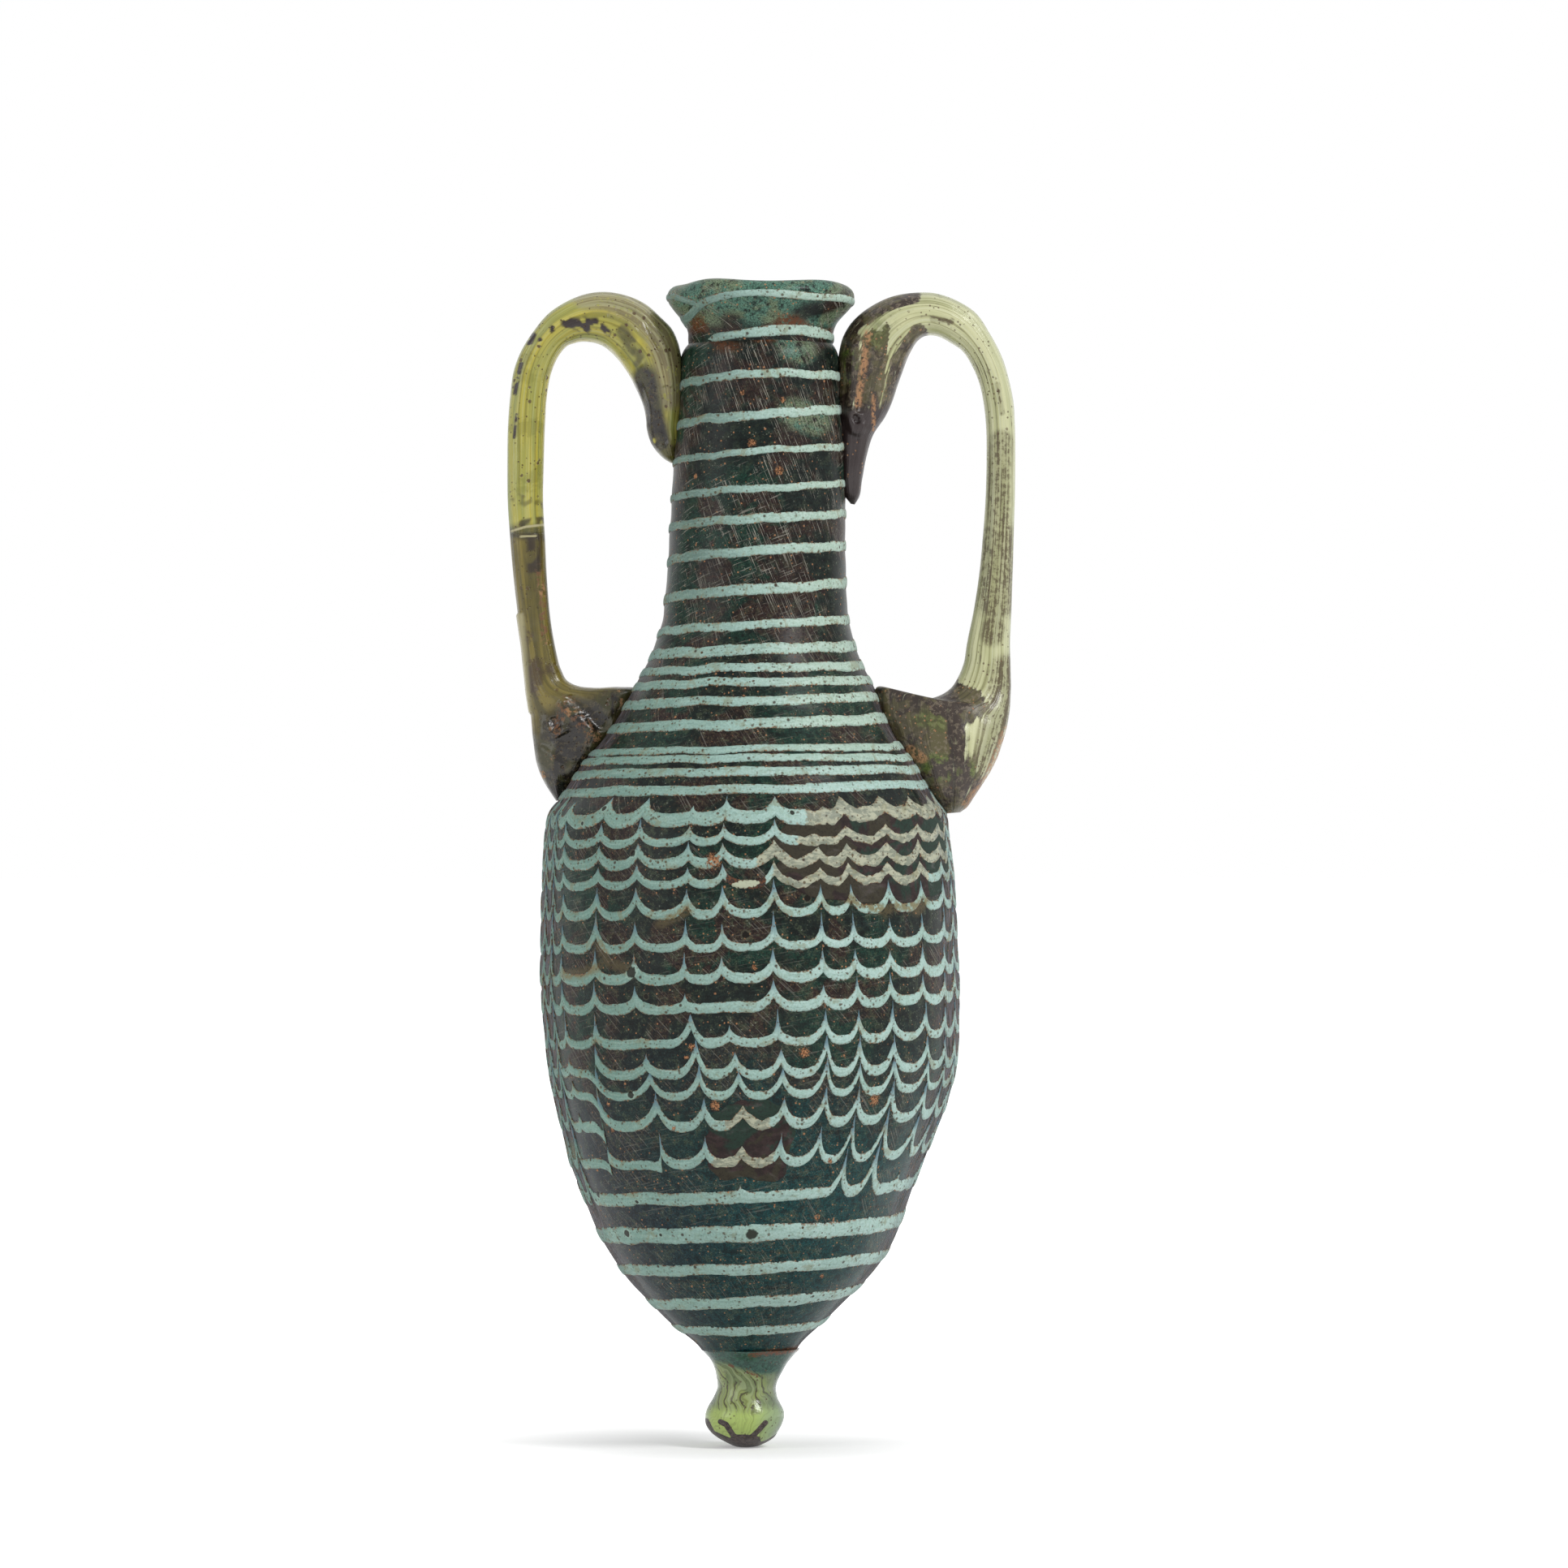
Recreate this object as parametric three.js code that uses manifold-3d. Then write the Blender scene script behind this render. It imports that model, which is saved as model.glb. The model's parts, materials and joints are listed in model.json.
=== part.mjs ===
// A core-formed glass amphoriskos: a small two-handled perfume flask that ends in a knob.
// The wall is dark blue-green glass, wound over a core that was scraped out afterwards. A turquoise
// trail is wound round it from the knob to the lip and combed upwards into festoons on the belly.
// The rim coil, the two pale green handles and the knob are separate gathers, applied hot. The left
// handle is broken across its shaft, and two losses in the wall are filled.
//
// Millimetres, +Z up. The origin is the centre of the knob's underside. The front, where the angle
// is 0, faces -Y, and angles grow towards +X. The handles lie in the XZ plane. All shapes are made
// upright on the Z axis; the finished flask leans a little towards +X, by an even shift with height.

import * as THREE from "three";
import { mergeVertices } from "three/addons/utils/BufferGeometryUtils.js";
import Module from "manifold-3d";

const wasm = await Module();
wasm.setup();

// The lengths of the flask's parts, from the foot up, and the levels that they reach.
const KNOB_LENGTH = 12.5;
const LOWER_BODY_LENGTH = 48.5;
const UPPER_BODY_LENGTH = 21.5;
const SHOULDER_LENGTH = 24.5;
const NECK_LENGTH = 35;
const RIM_LENGTH = 7.3;
const KNOB_HEIGHT = KNOB_LENGTH;
const BELLY_HEIGHT = KNOB_HEIGHT + LOWER_BODY_LENGTH;
const SHOULDER_HEIGHT = BELLY_HEIGHT + UPPER_BODY_LENGTH;
const NECK_BASE_HEIGHT = SHOULDER_HEIGHT + SHOULDER_LENGTH;
const NECK_TOP_HEIGHT = NECK_BASE_HEIGHT + NECK_LENGTH;
const LIP_HEIGHT = NECK_TOP_HEIGHT + RIM_LENGTH;

// Outer radii of the wall at those levels.
const POINT_RADIUS = 6.2;
const BELLY_RADIUS = 26.8;
const SHOULDER_RADIUS = 24.9;
const NECK_BASE_RADIUS = 12.0;
const NECK_RADIUS = 10.4;
const THROAT_RADIUS = 9.2;
const THROAT_DEPTH = 2.6;

// How far the flask leans towards +X for each millimetre of height.
const LEAN = 0.0147;

// The hollow that the core left.
const WALL = 3.2;
const BORE_RADIUS = 6.5;
const FLOOR_THICKNESS = 6.5;

// The rim coil, flared and rounded over.
const LIP_RADIUS = 11.9;
const LIP_THICKNESS = 2.8;
const DISH_DEPTH = 4.6;

// The knob, from its underside up to the joint with the wall.
const FOOT_RADIUS = 2.4;
const KNOB_RADIUS = 5.0;
const KNOB_BULGE_HEIGHT = 3.7;
const WAIST_RADIUS = 3.9;
const WAIST_HEIGHT = 7.6;

// The trail is a low ridge on the wall. The festoon's crest lifts are what the comb dragged up.
const TRAIL_RISE = 0.35;
const TRAIL_GAP = 0.16;
const FESTOON_LIFT = 1.3;

// Stretches of the trail. Each starts and stops at the front at heights above and below two levels
// of the wall, which woundStretch names.
const LOWER_TRAIL = { start: 3.7, stop: -27.4, turns: 4, width: 1.7 };
const FESTOON_TRAIL = { start: -22.6, stop: -1.7, turns: 12, width: 1.3 };
const SHOULDER_TRAIL = { start: 2.4, stop: -4.8, turns: 8, width: 1.4 };
const NECK_TRAIL = { start: -1.4, stop: -5.2, turns: 7, width: 1.4 };
const RIM_TRAIL = { width: 1.4, throatLift: 0.9, lipDrop: 3.2 };

// The handles. Overhang is how far the shaft's middle stands out beyond the belly, and crest the
// arch's height over the neck's top. Rounding draws the arch in at its outer corner. The pad can
// bulge outwards and sag, and padRise is how far up the shoulder it runs out into the shaft.
const SHAFT_DEPTH = 4.2;
const PAD_DEPTH = 8.4;
const ROOT_DEPTH = 7.6;
const LEFT = {
  side: -1,
  overhang: 3.2,
  crest: 3.1,
  rounding: -0.2,
  shaft: 4.6,
  arch: 6.2,
  root: 8.0,
  rootDrop: 15.8,
  pad: 17.6,
  padRise: 15.5,
  bulge: -0.7,
  sag: 0.1,
};
const RIGHT = {
  side: 1,
  overhang: 4.2,
  crest: 3.3,
  rounding: 1.0,
  shaft: 3.8,
  arch: 5.6,
  root: 9.2,
  rootDrop: 20.6,
  pad: 18.8,
  padRise: 15.5,
  bulge: 1.3,
  sag: 1.3,
};
const BREAK_DROP = 24.6;
const BREAK_HEIGHT = NECK_TOP_HEIGHT - BREAK_DROP;
const BREAK_GAP = 0.3;

// A handle is seated over the trail, so its seat stands off the wall by the trail and a clearance.
const SEAT_CLEARANCE = 0.12;
const SEAT_OFFSET = TRAIL_GAP + TRAIL_RISE + SEAT_CLEARANCE;

// The restorer's fills: pockets in the wall, and plugs that are smaller by a clearance all round.
const FILL_DEPTH = 1.6;
const FILL_CLEARANCE = 0.25;
const SHOULDER_FILL = { angle: 42, level: SHOULDER_HEIGHT, drop: 6.1, halfAngle: 34, halfHeight: 6.0 };
const BELLY_FILL = { angle: 1, level: BELLY_HEIGHT, drop: 20.6, halfAngle: 13, halfHeight: 5.2 };

// How finely round shapes are faceted. The festoon has two steps for each of the comb's strokes.
const FACETS = 30;
const FACET_ANGLE = (2 * Math.PI) / FACETS;
const COMB_STROKES = 30;
const HANDLE_SIDES = 12;
const HANDLE_RINGS = 30;

const glass = (color, roughness) => new THREE.MeshStandardMaterial({ color, roughness, metalness: 0 });
const DARK_GLASS = glass(0x22383a, 0.35);
const RIM_GLASS = glass(0x3f6f6a, 0.3);
const TURQUOISE = glass(0x79ada6, 0.45);
const LEFT_GLASS = glass(0x9a9440, 0.3);
const RIGHT_GLASS = glass(0x97a172, 0.35);
const KNOB_GLASS = glass(0x7d9a54, 0.25);
const FILL_PAINT = glass(0x4a4038, 0.8);

const lerp = THREE.MathUtils.lerp;
const smooth = (x, low, high) => THREE.MathUtils.smoothstep(x, low, high);

// A closed geometry as a solid: positions only, shared corners merged, flat triangles dropped.
function solidOf(geometry) {
  const bare = geometry.clone();
  bare.deleteAttribute("normal");
  bare.deleteAttribute("uv");
  const merged = mergeVertices(bare, 1e-4);
  const corners = [];
  const index = merged.index.array;
  for (let i = 0; i < index.length; i += 3) {
    const [a, b, c] = [index[i], index[i + 1], index[i + 2]];
    if (a !== b && b !== c && c !== a) corners.push(a, b, c);
  }
  return new wasm.Manifold(
    new wasm.Mesh({
      numProp: 3,
      vertProperties: merged.attributes.position.array,
      triVerts: new Uint32Array(corners),
    }),
  );
}

function geometryOf(solid) {
  const { vertProperties, triVerts } = solid.getMesh();
  return new THREE.BufferGeometry()
    .setAttribute("position", new THREE.BufferAttribute(vertProperties, 3))
    .setIndex(new THREE.BufferAttribute(triVerts, 1))
    .toNonIndexed();
}

// Turns an outline of [radius, height] points round the Z axis, starting at the front.
function turned(outline) {
  const points = outline.map(([radius, height]) => new THREE.Vector2(radius, height));
  return new THREE.LatheGeometry(points, FACETS).rotateX(Math.PI / 2);
}

// A smooth curve through [radius, height] stations, as that many steps per stretch.
function curveThrough(stations, steps) {
  const curve = new THREE.SplineCurve(stations.map(([r, h]) => new THREE.Vector2(r, h)));
  return curve.getPoints(steps).map((p) => [p.x, p.y]);
}

// The wall's outline between two levels, from shares of its height and of its change in radius.
function between([lowRadius, lowHeight], [highRadius, highHeight], shares) {
  return shares.map(([up, out]) => [lerp(lowRadius, highRadius, out), lerp(lowHeight, highHeight, up)]);
}

const POINT_LEVEL = [POINT_RADIUS, KNOB_HEIGHT];
const BELLY_LEVEL = [BELLY_RADIUS, BELLY_HEIGHT];
const SHOULDER_LEVEL = [SHOULDER_RADIUS, SHOULDER_HEIGHT];
const NECK_BASE_LEVEL = [NECK_BASE_RADIUS, NECK_BASE_HEIGHT];
const NECK_LEVEL = [NECK_RADIUS, NECK_TOP_HEIGHT - THROAT_DEPTH];
const THROAT_LEVEL = [THROAT_RADIUS, NECK_TOP_HEIGHT];

// A full lower body that narrows to the point, a belly, a sloping shoulder and a tapered neck.
const wallOutline = [
  ...curveThrough(
    [
      POINT_LEVEL,
      ...between(POINT_LEVEL, BELLY_LEVEL, [[0.136, 0.325], [0.33, 0.655], [0.588, 0.874], [0.8, 0.98]]),
      BELLY_LEVEL,
      ...between(BELLY_LEVEL, SHOULDER_LEVEL, [[0.5, 0.14], [0.84, 0.5]]),
      SHOULDER_LEVEL,
      ...between(SHOULDER_LEVEL, NECK_BASE_LEVEL, [[0.16, 0.22], [0.36, 0.45], [0.57, 0.68], [0.82, 0.92]]),
      NECK_BASE_LEVEL,
      ...between(NECK_BASE_LEVEL, NECK_LEVEL, [[0.45, 0.4]]),
      NECK_LEVEL,
    ],
    32,
  ),
  THROAT_LEVEL,
];

const lipLevel = LIP_HEIGHT - LIP_THICKNESS;
const rimOutline = [
  THROAT_LEVEL,
  ...curveThrough(
    [
      [THROAT_RADIUS, lerp(NECK_TOP_HEIGHT, lipLevel, 0.2)],
      [lerp(THROAT_RADIUS, LIP_RADIUS, 0.5), lerp(NECK_TOP_HEIGHT, lipLevel, 0.62)],
      [LIP_RADIUS, lipLevel + 0.15 * LIP_THICKNESS],
      [LIP_RADIUS - 0.05 * LIP_THICKNESS, lipLevel + 0.6 * LIP_THICKNESS],
    ],
    8,
  ),
  [LIP_RADIUS - 0.2 * LIP_THICKNESS, lipLevel + 0.88 * LIP_THICKNESS],
  [LIP_RADIUS - 0.5 * LIP_THICKNESS, LIP_HEIGHT],
];

// The surface at a height: its point, its direction up the outline and its outward normal.
function surfaceAt(outline, height) {
  let i = 1;
  while (i < outline.length - 1 && outline[i][1] < height) i++;
  const [r0, h0] = outline[i - 1];
  const [r1, h1] = outline[i];
  const radius = lerp(r0, r1, (height - h0) / (h1 - h0));
  const up = new THREE.Vector2(r1 - r0, h1 - h0).normalize();
  return { point: new THREE.Vector2(radius, height), up, out: new THREE.Vector2(up.y, -up.x) };
}

const wallRadius = (height) => surfaceAt(wallOutline, height).point.x;

// The outline moved outwards along its normals.
function offsetOutline(outline, distance) {
  return outline.map(([radius, height], i) => {
    const [r0, h0] = outline[Math.max(i - 1, 0)];
    const [r1, h1] = outline[Math.min(i + 1, outline.length - 1)];
    const length = Math.hypot(r1 - r0, h1 - h0);
    return [radius + (distance * (h1 - h0)) / length, height - (distance * (r1 - r0)) / length];
  });
}

// Places an outline point at an angle, on the flat facets of a turned shape.
function placed({ x: radius, y: height }, angle) {
  const within = THREE.MathUtils.euclideanModulo(angle, FACET_ANGLE) - FACET_ANGLE / 2;
  const faceted = (radius * Math.cos(FACET_ANGLE / 2)) / Math.cos(within);
  return new THREE.Vector3(faceted * Math.sin(angle), -faceted * Math.cos(angle), height);
}

// The inside follows the outside at the wall's thickness, and narrows to the bore at the neck.
function hollowOutline() {
  const floor = KNOB_HEIGHT + FLOOR_THICKNESS;
  const inner = offsetOutline(wallOutline, -WALL)
    .filter(([radius, height]) => height > floor + WALL && height < NECK_BASE_HEIGHT)
    .map(([radius, height]) => [
      lerp(radius, BORE_RADIUS, smooth(height, SHOULDER_HEIGHT, NECK_BASE_HEIGHT)),
      height,
    ]);
  return [[0, floor], [0.6 * inner[0][0], floor + 0.3 * WALL], ...inner, [BORE_RADIUS, NECK_BASE_HEIGHT]];
}

const fullWall = () => solidOf(turned([[0, KNOB_HEIGHT], ...wallOutline, [0, NECK_TOP_HEIGHT]]));

// A fill's outline, as [angle, height] pairs: an irregular eight-sided patch.
function fillOutline({ angle, level, drop, halfAngle, halfHeight }, margin) {
  const inset = margin / BELLY_RADIUS;
  const corners = [[-1, -0.5], [-0.55, -1], [0.4, -0.9], [1, -0.6], [0.95, 0.5], [0.5, 1], [-0.35, 0.9], [-0.9, 0.55]];
  return corners.map(([across, up]) => [
    THREE.MathUtils.degToRad(angle) + across * (THREE.MathUtils.degToRad(halfAngle) - inset),
    level - drop + up * (halfHeight - margin),
  ]);
}

// A solid that goes through the wall inside a patch's outline, from half the wall's radius outwards.
function patchPrism(patch) {
  const fine = patch.flatMap(([angle, height], i) => {
    const [nextAngle, nextHeight] = patch[(i + 1) % patch.length];
    const steps = Math.ceil(Math.abs(nextAngle - angle) / FACET_ANGLE) || 1;
    return Array.from({ length: steps }, (_, k) => [
      lerp(angle, nextAngle, k / steps),
      lerp(height, nextHeight, k / steps),
    ]);
  });
  const centre = patch.reduce(([a, h], [b, g]) => [a + b / patch.length, h + g / patch.length], [0, 0]);
  const radii = [BELLY_RADIUS / 2, BELLY_RADIUS * 1.3];
  const at = ([angle, height], radius) => [radius * Math.sin(angle), -radius * Math.cos(angle), height];
  const triangles = [];
  fine.forEach((here, i) => {
    const next = fine[(i + 1) % fine.length];
    const [inHere, outHere] = radii.map((radius) => at(here, radius));
    const [inNext, outNext] = radii.map((radius) => at(next, radius));
    triangles.push(inHere, inNext, outNext, inHere, outNext, outHere);
    triangles.push(at(centre, radii[1]), outHere, outNext, at(centre, radii[0]), inNext, inHere);
  });
  const positions = new Float32Array(triangles.flat());
  return solidOf(new THREE.BufferGeometry().setAttribute("position", new THREE.BufferAttribute(positions, 3)));
}

// The wall without its outer layer, to the depth of the fills.
const wallCore = () => {
  const core = offsetOutline(wallOutline, -FILL_DEPTH).filter(([, height]) => height > KNOB_HEIGHT);
  return solidOf(turned([[0, KNOB_HEIGHT], ...core, [0, NECK_TOP_HEIGHT]]));
};

function vesselWall() {
  const hollow = solidOf(turned([...hollowOutline(), [BORE_RADIUS, LIP_HEIGHT], [0, LIP_HEIGHT]]));
  let wall = fullWall().subtract(hollow);
  for (const fill of [SHOULDER_FILL, BELLY_FILL]) {
    wall = wall.subtract(patchPrism(fillOutline(fill, 0)).subtract(wallCore()));
  }
  return geometryOf(wall);
}

// A plug of the wall's outer layer. It stays clear of its pocket's edges and floor.
function fillPlug(fill) {
  const floor = offsetOutline(wallOutline, FILL_CLEARANCE - FILL_DEPTH).filter(([, height]) => height > KNOB_HEIGHT);
  const pocketFloor = solidOf(turned([[0, KNOB_HEIGHT], ...floor, [0, NECK_TOP_HEIGHT]]));
  return geometryOf(fullWall().intersect(patchPrism(fillOutline(fill, FILL_CLEARANCE))).subtract(pocketFloor));
}

function rimDisk() {
  const dishFloor = LIP_HEIGHT - DISH_DEPTH;
  const inside = [
    [lerp(BORE_RADIUS, LIP_RADIUS, 0.45), lerp(LIP_HEIGHT, dishFloor, 0.12)],
    [lerp(BORE_RADIUS, LIP_RADIUS, 0.2), lerp(LIP_HEIGHT, dishFloor, 0.45)],
    [BORE_RADIUS, dishFloor],
    [BORE_RADIUS, NECK_TOP_HEIGHT],
  ];
  return turned([...rimOutline, ...inside, THROAT_LEVEL]);
}

function baseKnob() {
  const rise = KNOB_HEIGHT - WAIST_HEIGHT;
  const side = curveThrough(
    [
      [FOOT_RADIUS, 0],
      [0.88 * KNOB_RADIUS, 0.38 * KNOB_BULGE_HEIGHT],
      [KNOB_RADIUS, KNOB_BULGE_HEIGHT],
      [WAIST_RADIUS, WAIST_HEIGHT],
      [lerp(WAIST_RADIUS, POINT_RADIUS, 0.4), WAIST_HEIGHT + 0.6 * rise],
      POINT_LEVEL,
    ],
    12,
  );
  return turned([[0, 0], ...side, [0, KNOB_HEIGHT]]);
}

// Joins rings of points, each ring a closed loop, into one closed surface with flat ends.
function joined(rings) {
  const sides = rings[0].length;
  const positions = new Float32Array(rings.flat().flatMap((p) => [p.x, p.y, p.z]));
  const index = [];
  for (let ring = 0; ring + 1 < rings.length; ring++) {
    for (let side = 0; side < sides; side++) {
      const [a, b] = [ring * sides + side, ring * sides + ((side + 1) % sides)];
      index.push(a, b, b + sides, a, b + sides, a + sides);
    }
  }
  const last = (rings.length - 1) * sides;
  for (let side = 1; side + 1 < sides; side++) {
    index.push(0, side + 1, side, last, last + side, last + side + 1);
  }
  return new THREE.BufferGeometry()
    .setAttribute("position", new THREE.BufferAttribute(positions, 3))
    .setIndex(index);
}

// One unbroken length of the trail on an outline: a low ridge whose base lies along the surface.
// The height is a function of the angle, which runs on past a full turn.
function trail(outline, width, start, end, heightAt, step) {
  const steps = Math.round((end - start) / step);
  const rings = [];
  for (let i = 0; i <= steps; i++) {
    const angle = start + i * step;
    const height = heightAt(angle);
    const halfHeight = (width / 2) * surfaceAt(outline, height).up.y;
    const offSurface = (rise, off) => {
      const { point, out } = surfaceAt(outline, height + rise);
      return placed(point.clone().addScaledVector(out, off), angle);
    };
    rings.push([
      offSurface(halfHeight, TRAIL_GAP),
      offSurface(0, TRAIL_GAP + TRAIL_RISE),
      offSurface(-halfHeight, TRAIL_GAP),
    ]);
  }
  return { geometry: joined(rings), path: rings.map((ring) => ring[1]), width, step };
}

// The least space between a trail's own turns, from the points of its crest.
function leastSpace({ path, width, step }) {
  const halfTurn = Math.round(Math.PI / step);
  let least = Infinity;
  for (let i = 0; i < path.length; i++) {
    for (let j = i + halfTurn; j < path.length; j++) {
      least = Math.min(least, path[i].distanceTo(path[j]) - width);
    }
  }
  return least;
}

// A stretch wound at an even pitch. It starts and ends half a turn from the front, at the back.
function woundStretch({ start: above, stop: below, turns, width }, levels, step, liftAt = () => 0) {
  const [bottom, top] = [levels[0] + above, levels[1] + below];
  const pitch = (top - bottom) / turns;
  const start = -Math.PI + step;
  const end = 2 * Math.PI * turns + Math.PI - step;
  return trail(
    wallOutline,
    width,
    start,
    end,
    (angle) => bottom + (pitch * angle) / (2 * Math.PI) + liftAt(angle),
    step,
  );
}

// The comb's strokes drag the trail up into a crest at every other step.
const combStep = Math.PI / COMB_STROKES;
const combedLift = (angle) => (Math.round(angle / combStep) % 2 === 0 ? FESTOON_LIFT / 2 : -FESTOON_LIFT / 2);

// The rim's stretch lies in the throat, climbs to the lip at the back and runs on round the lip.
function rimStretch() {
  const { width, throatLift, lipDrop } = RIM_TRAIL;
  const throat = NECK_TOP_HEIGHT + throatLift;
  const lip = LIP_HEIGHT - lipDrop;
  const climb = (angle) => smooth(angle, 0.9 * Math.PI, 1.9 * Math.PI);
  const start = -Math.round(FACETS / 4) * FACET_ANGLE;
  const end = start + Math.round(1.85 * FACETS) * FACET_ANGLE;
  return trail(rimOutline, width, start, end, (angle) => lerp(throat, lip, climb(angle)), FACET_ANGLE);
}

const trails = {
  lower_trail: woundStretch(LOWER_TRAIL, [KNOB_HEIGHT, BELLY_HEIGHT], FACET_ANGLE),
  festoon_trail: woundStretch(FESTOON_TRAIL, [BELLY_HEIGHT, SHOULDER_HEIGHT], combStep, combedLift),
  shoulder_trail: woundStretch(SHOULDER_TRAIL, [SHOULDER_HEIGHT, NECK_BASE_HEIGHT], FACET_ANGLE),
  neck_trail: woundStretch(NECK_TRAIL, [NECK_BASE_HEIGHT, NECK_TOP_HEIGHT], FACET_ANGLE),
  rim_trail: rimStretch(),
};
for (const [name, made] of Object.entries(trails)) {
  console.log(`${name}: least space between its turns ${leastSpace(made).toFixed(2)} mm`);
}

// A handle's stations, from the pad in the shoulder, up the shaft, over the crest and down the
// root that is pressed on the neck. Each is [distance from the axis, height, width, depth].
function handleStations(handle) {
  const { overhang, crest, rounding, shaft, arch, root, rootDrop, pad, padRise, bulge, sag } = handle;
  const reach = BELLY_RADIUS + overhang;
  const crestHeight = NECK_TOP_HEIGHT + crest;
  const onShoulder = (rise, inwards, share, bulgeShare) => {
    const height = SHOULDER_HEIGHT + rise * padRise - sag * share;
    const out = lerp(reach, wallRadius(height), inwards) + bulge * bulgeShare;
    return [out, height, lerp(shaft, pad, share), lerp(SHAFT_DEPTH, PAD_DEPTH, share)];
  };
  const onShaft = (share, inwards, widen) => [
    reach - inwards,
    lerp(SHOULDER_HEIGHT, crestHeight, share),
    shaft * widen,
    SHAFT_DEPTH,
  ];
  const rounded = rounding / reach;
  const onArch = (inwards, drop, share) => [
    lerp(reach, wallRadius(NECK_TOP_HEIGHT - 0.2 * rootDrop), inwards),
    crestHeight - drop,
    lerp(shaft, arch, share),
    lerp(SHAFT_DEPTH, ROOT_DEPTH, share * 0.5),
  ];
  const onNeck = (share, standoff, widthShare) => {
    const height = NECK_TOP_HEIGHT - share * rootDrop;
    const depth = ROOT_DEPTH * Math.min(1, 1.3 * widthShare);
    return [wallRadius(height) + standoff * root, height, root * widthShare, depth];
  };
  return [
    onShoulder(0.36, 1.35, 1, 0),
    onShoulder(0.49, 0.98, 0.95, 0.6),
    onShoulder(0.62, 0.62, 0.72, 1),
    onShoulder(0.79, 0.32, 0.42, 1),
    onShoulder(1, 0.12, 0.16, 0.7),
    onShaft(0.32, 0.36 * shaft - 0.1 * bulge, 1.05),
    onShaft(0.45, 0.14 * shaft, 1),
    onShaft(0.62, 0.02 * shaft, 0.98),
    onShaft(0.78, 0.02 * shaft + 0.2 * rounding, 1),
    onShaft(0.9, 0.2 * shaft + rounding, 1.04),
    onArch(0.13 + rounded, 0.5 * arch + 0.4 * rounding, 0.3),
    onArch(0.28, 0.15 * arch + 0.2 * rounding, 0.7),
    onArch(0.44, 0, 1),
    onArch(0.6, 0.08 * arch, 1.3),
    onNeck(-0.02, 0.62, 0.97),
    onNeck(0.12, 0.46, 1),
    onNeck(0.32, 0.32, 0.92),
    onNeck(0.55, 0.22, 0.72),
    onNeck(0.8, 0.13, 0.42),
    onNeck(1, 0.08, 0.12),
  ];
}

// A rod of changing oval section along the stations, in the XZ plane, on one side of the axis.
function handleRod(handle) {
  const stations = handleStations(handle);
  const path = new THREE.CatmullRomCurve3(stations.map(([out, height]) => new THREE.Vector3(out, 0, height)));
  const rings = [];
  for (let i = 0; i <= HANDLE_RINGS; i++) {
    const along = i / HANDLE_RINGS;
    const centre = path.getPoint(along);
    const ahead = path.getTangent(along);
    const place = along * (stations.length - 1);
    const low = Math.min(Math.floor(place), stations.length - 2);
    const [width, depth] = [2, 3].map((k) => lerp(stations[low][k], stations[low + 1][k], place - low));
    const across = new THREE.Vector3(ahead.z, 0, -ahead.x);
    rings.push(
      Array.from({ length: HANDLE_SIDES }, (_, k) => {
        const turn = (2 * Math.PI * k) / HANDLE_SIDES;
        const point = centre.clone().addScaledVector(across, (width / 2) * Math.cos(turn));
        return new THREE.Vector3(handle.side * point.x, handle.side * (depth / 2) * Math.sin(turn), point.z);
      }),
    );
  }
  return solidOf(joined(rings));
}

// The rod with its seats cut to the wall and the rim, clear of the trail.
function seatedHandle(handle) {
  const seat = offsetOutline([...wallOutline, ...rimOutline.slice(1)], SEAT_OFFSET);
  const [[, bottom], [, top]] = [seat[0], seat[seat.length - 1]];
  return handleRod(handle).subtract(solidOf(turned([[0, bottom], ...seat, [0, top]])));
}

// Everything above a height, as a solid to cut with.
function above(height) {
  const size = 4 * LIP_HEIGHT;
  return solidOf(new THREE.BoxGeometry(size, size, size).translate(0, 0, height + size / 2));
}

const leftHandle = seatedHandle(LEFT);
const upperPart = geometryOf(leftHandle.intersect(above(BREAK_HEIGHT + BREAK_GAP / 2)));
const lowerPart = geometryOf(leftHandle.subtract(above(BREAK_HEIGHT - BREAK_GAP / 2)));

const amphoriskos = new THREE.Group();
amphoriskos.name = "amphoriskos";
function add(name, geometry, material) {
  const leaning = geometry.applyMatrix4(new THREE.Matrix4().makeShear(0, 0, 0, 0, LEAN, 0));
  const mesh = new THREE.Mesh(leaning, material);
  mesh.name = name;
  amphoriskos.add(mesh);
}

add("vessel_wall", vesselWall(), DARK_GLASS);
add("rim_disk", rimDisk(), RIM_GLASS);
add("base_knob", baseKnob(), KNOB_GLASS);
add("handle_left_upper", upperPart, LEFT_GLASS);
add("handle_left_lower", lowerPart, LEFT_GLASS);
add("handle_right", geometryOf(seatedHandle(RIGHT)), RIGHT_GLASS);
add("fill_shoulder", fillPlug(SHOULDER_FILL), FILL_PAINT);
add("fill_belly", fillPlug(BELLY_FILL), FILL_PAINT);
for (const [name, { geometry }] of Object.entries(trails)) add(name, geometry, TURQUOISE);

export default amphoriskos;
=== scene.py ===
"""An amphoriskos of core-formed glass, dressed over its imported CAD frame.

Every surface is worked out as a grid of points in millimetres, in the frame of the CAD: the foot
of the knob at the origin, +Z up, the front of the flask towards -Y. Angles round the flask are 0
at the front and grow towards +X. The mesh maker turns millimetres into metres.
"""
import json

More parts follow.
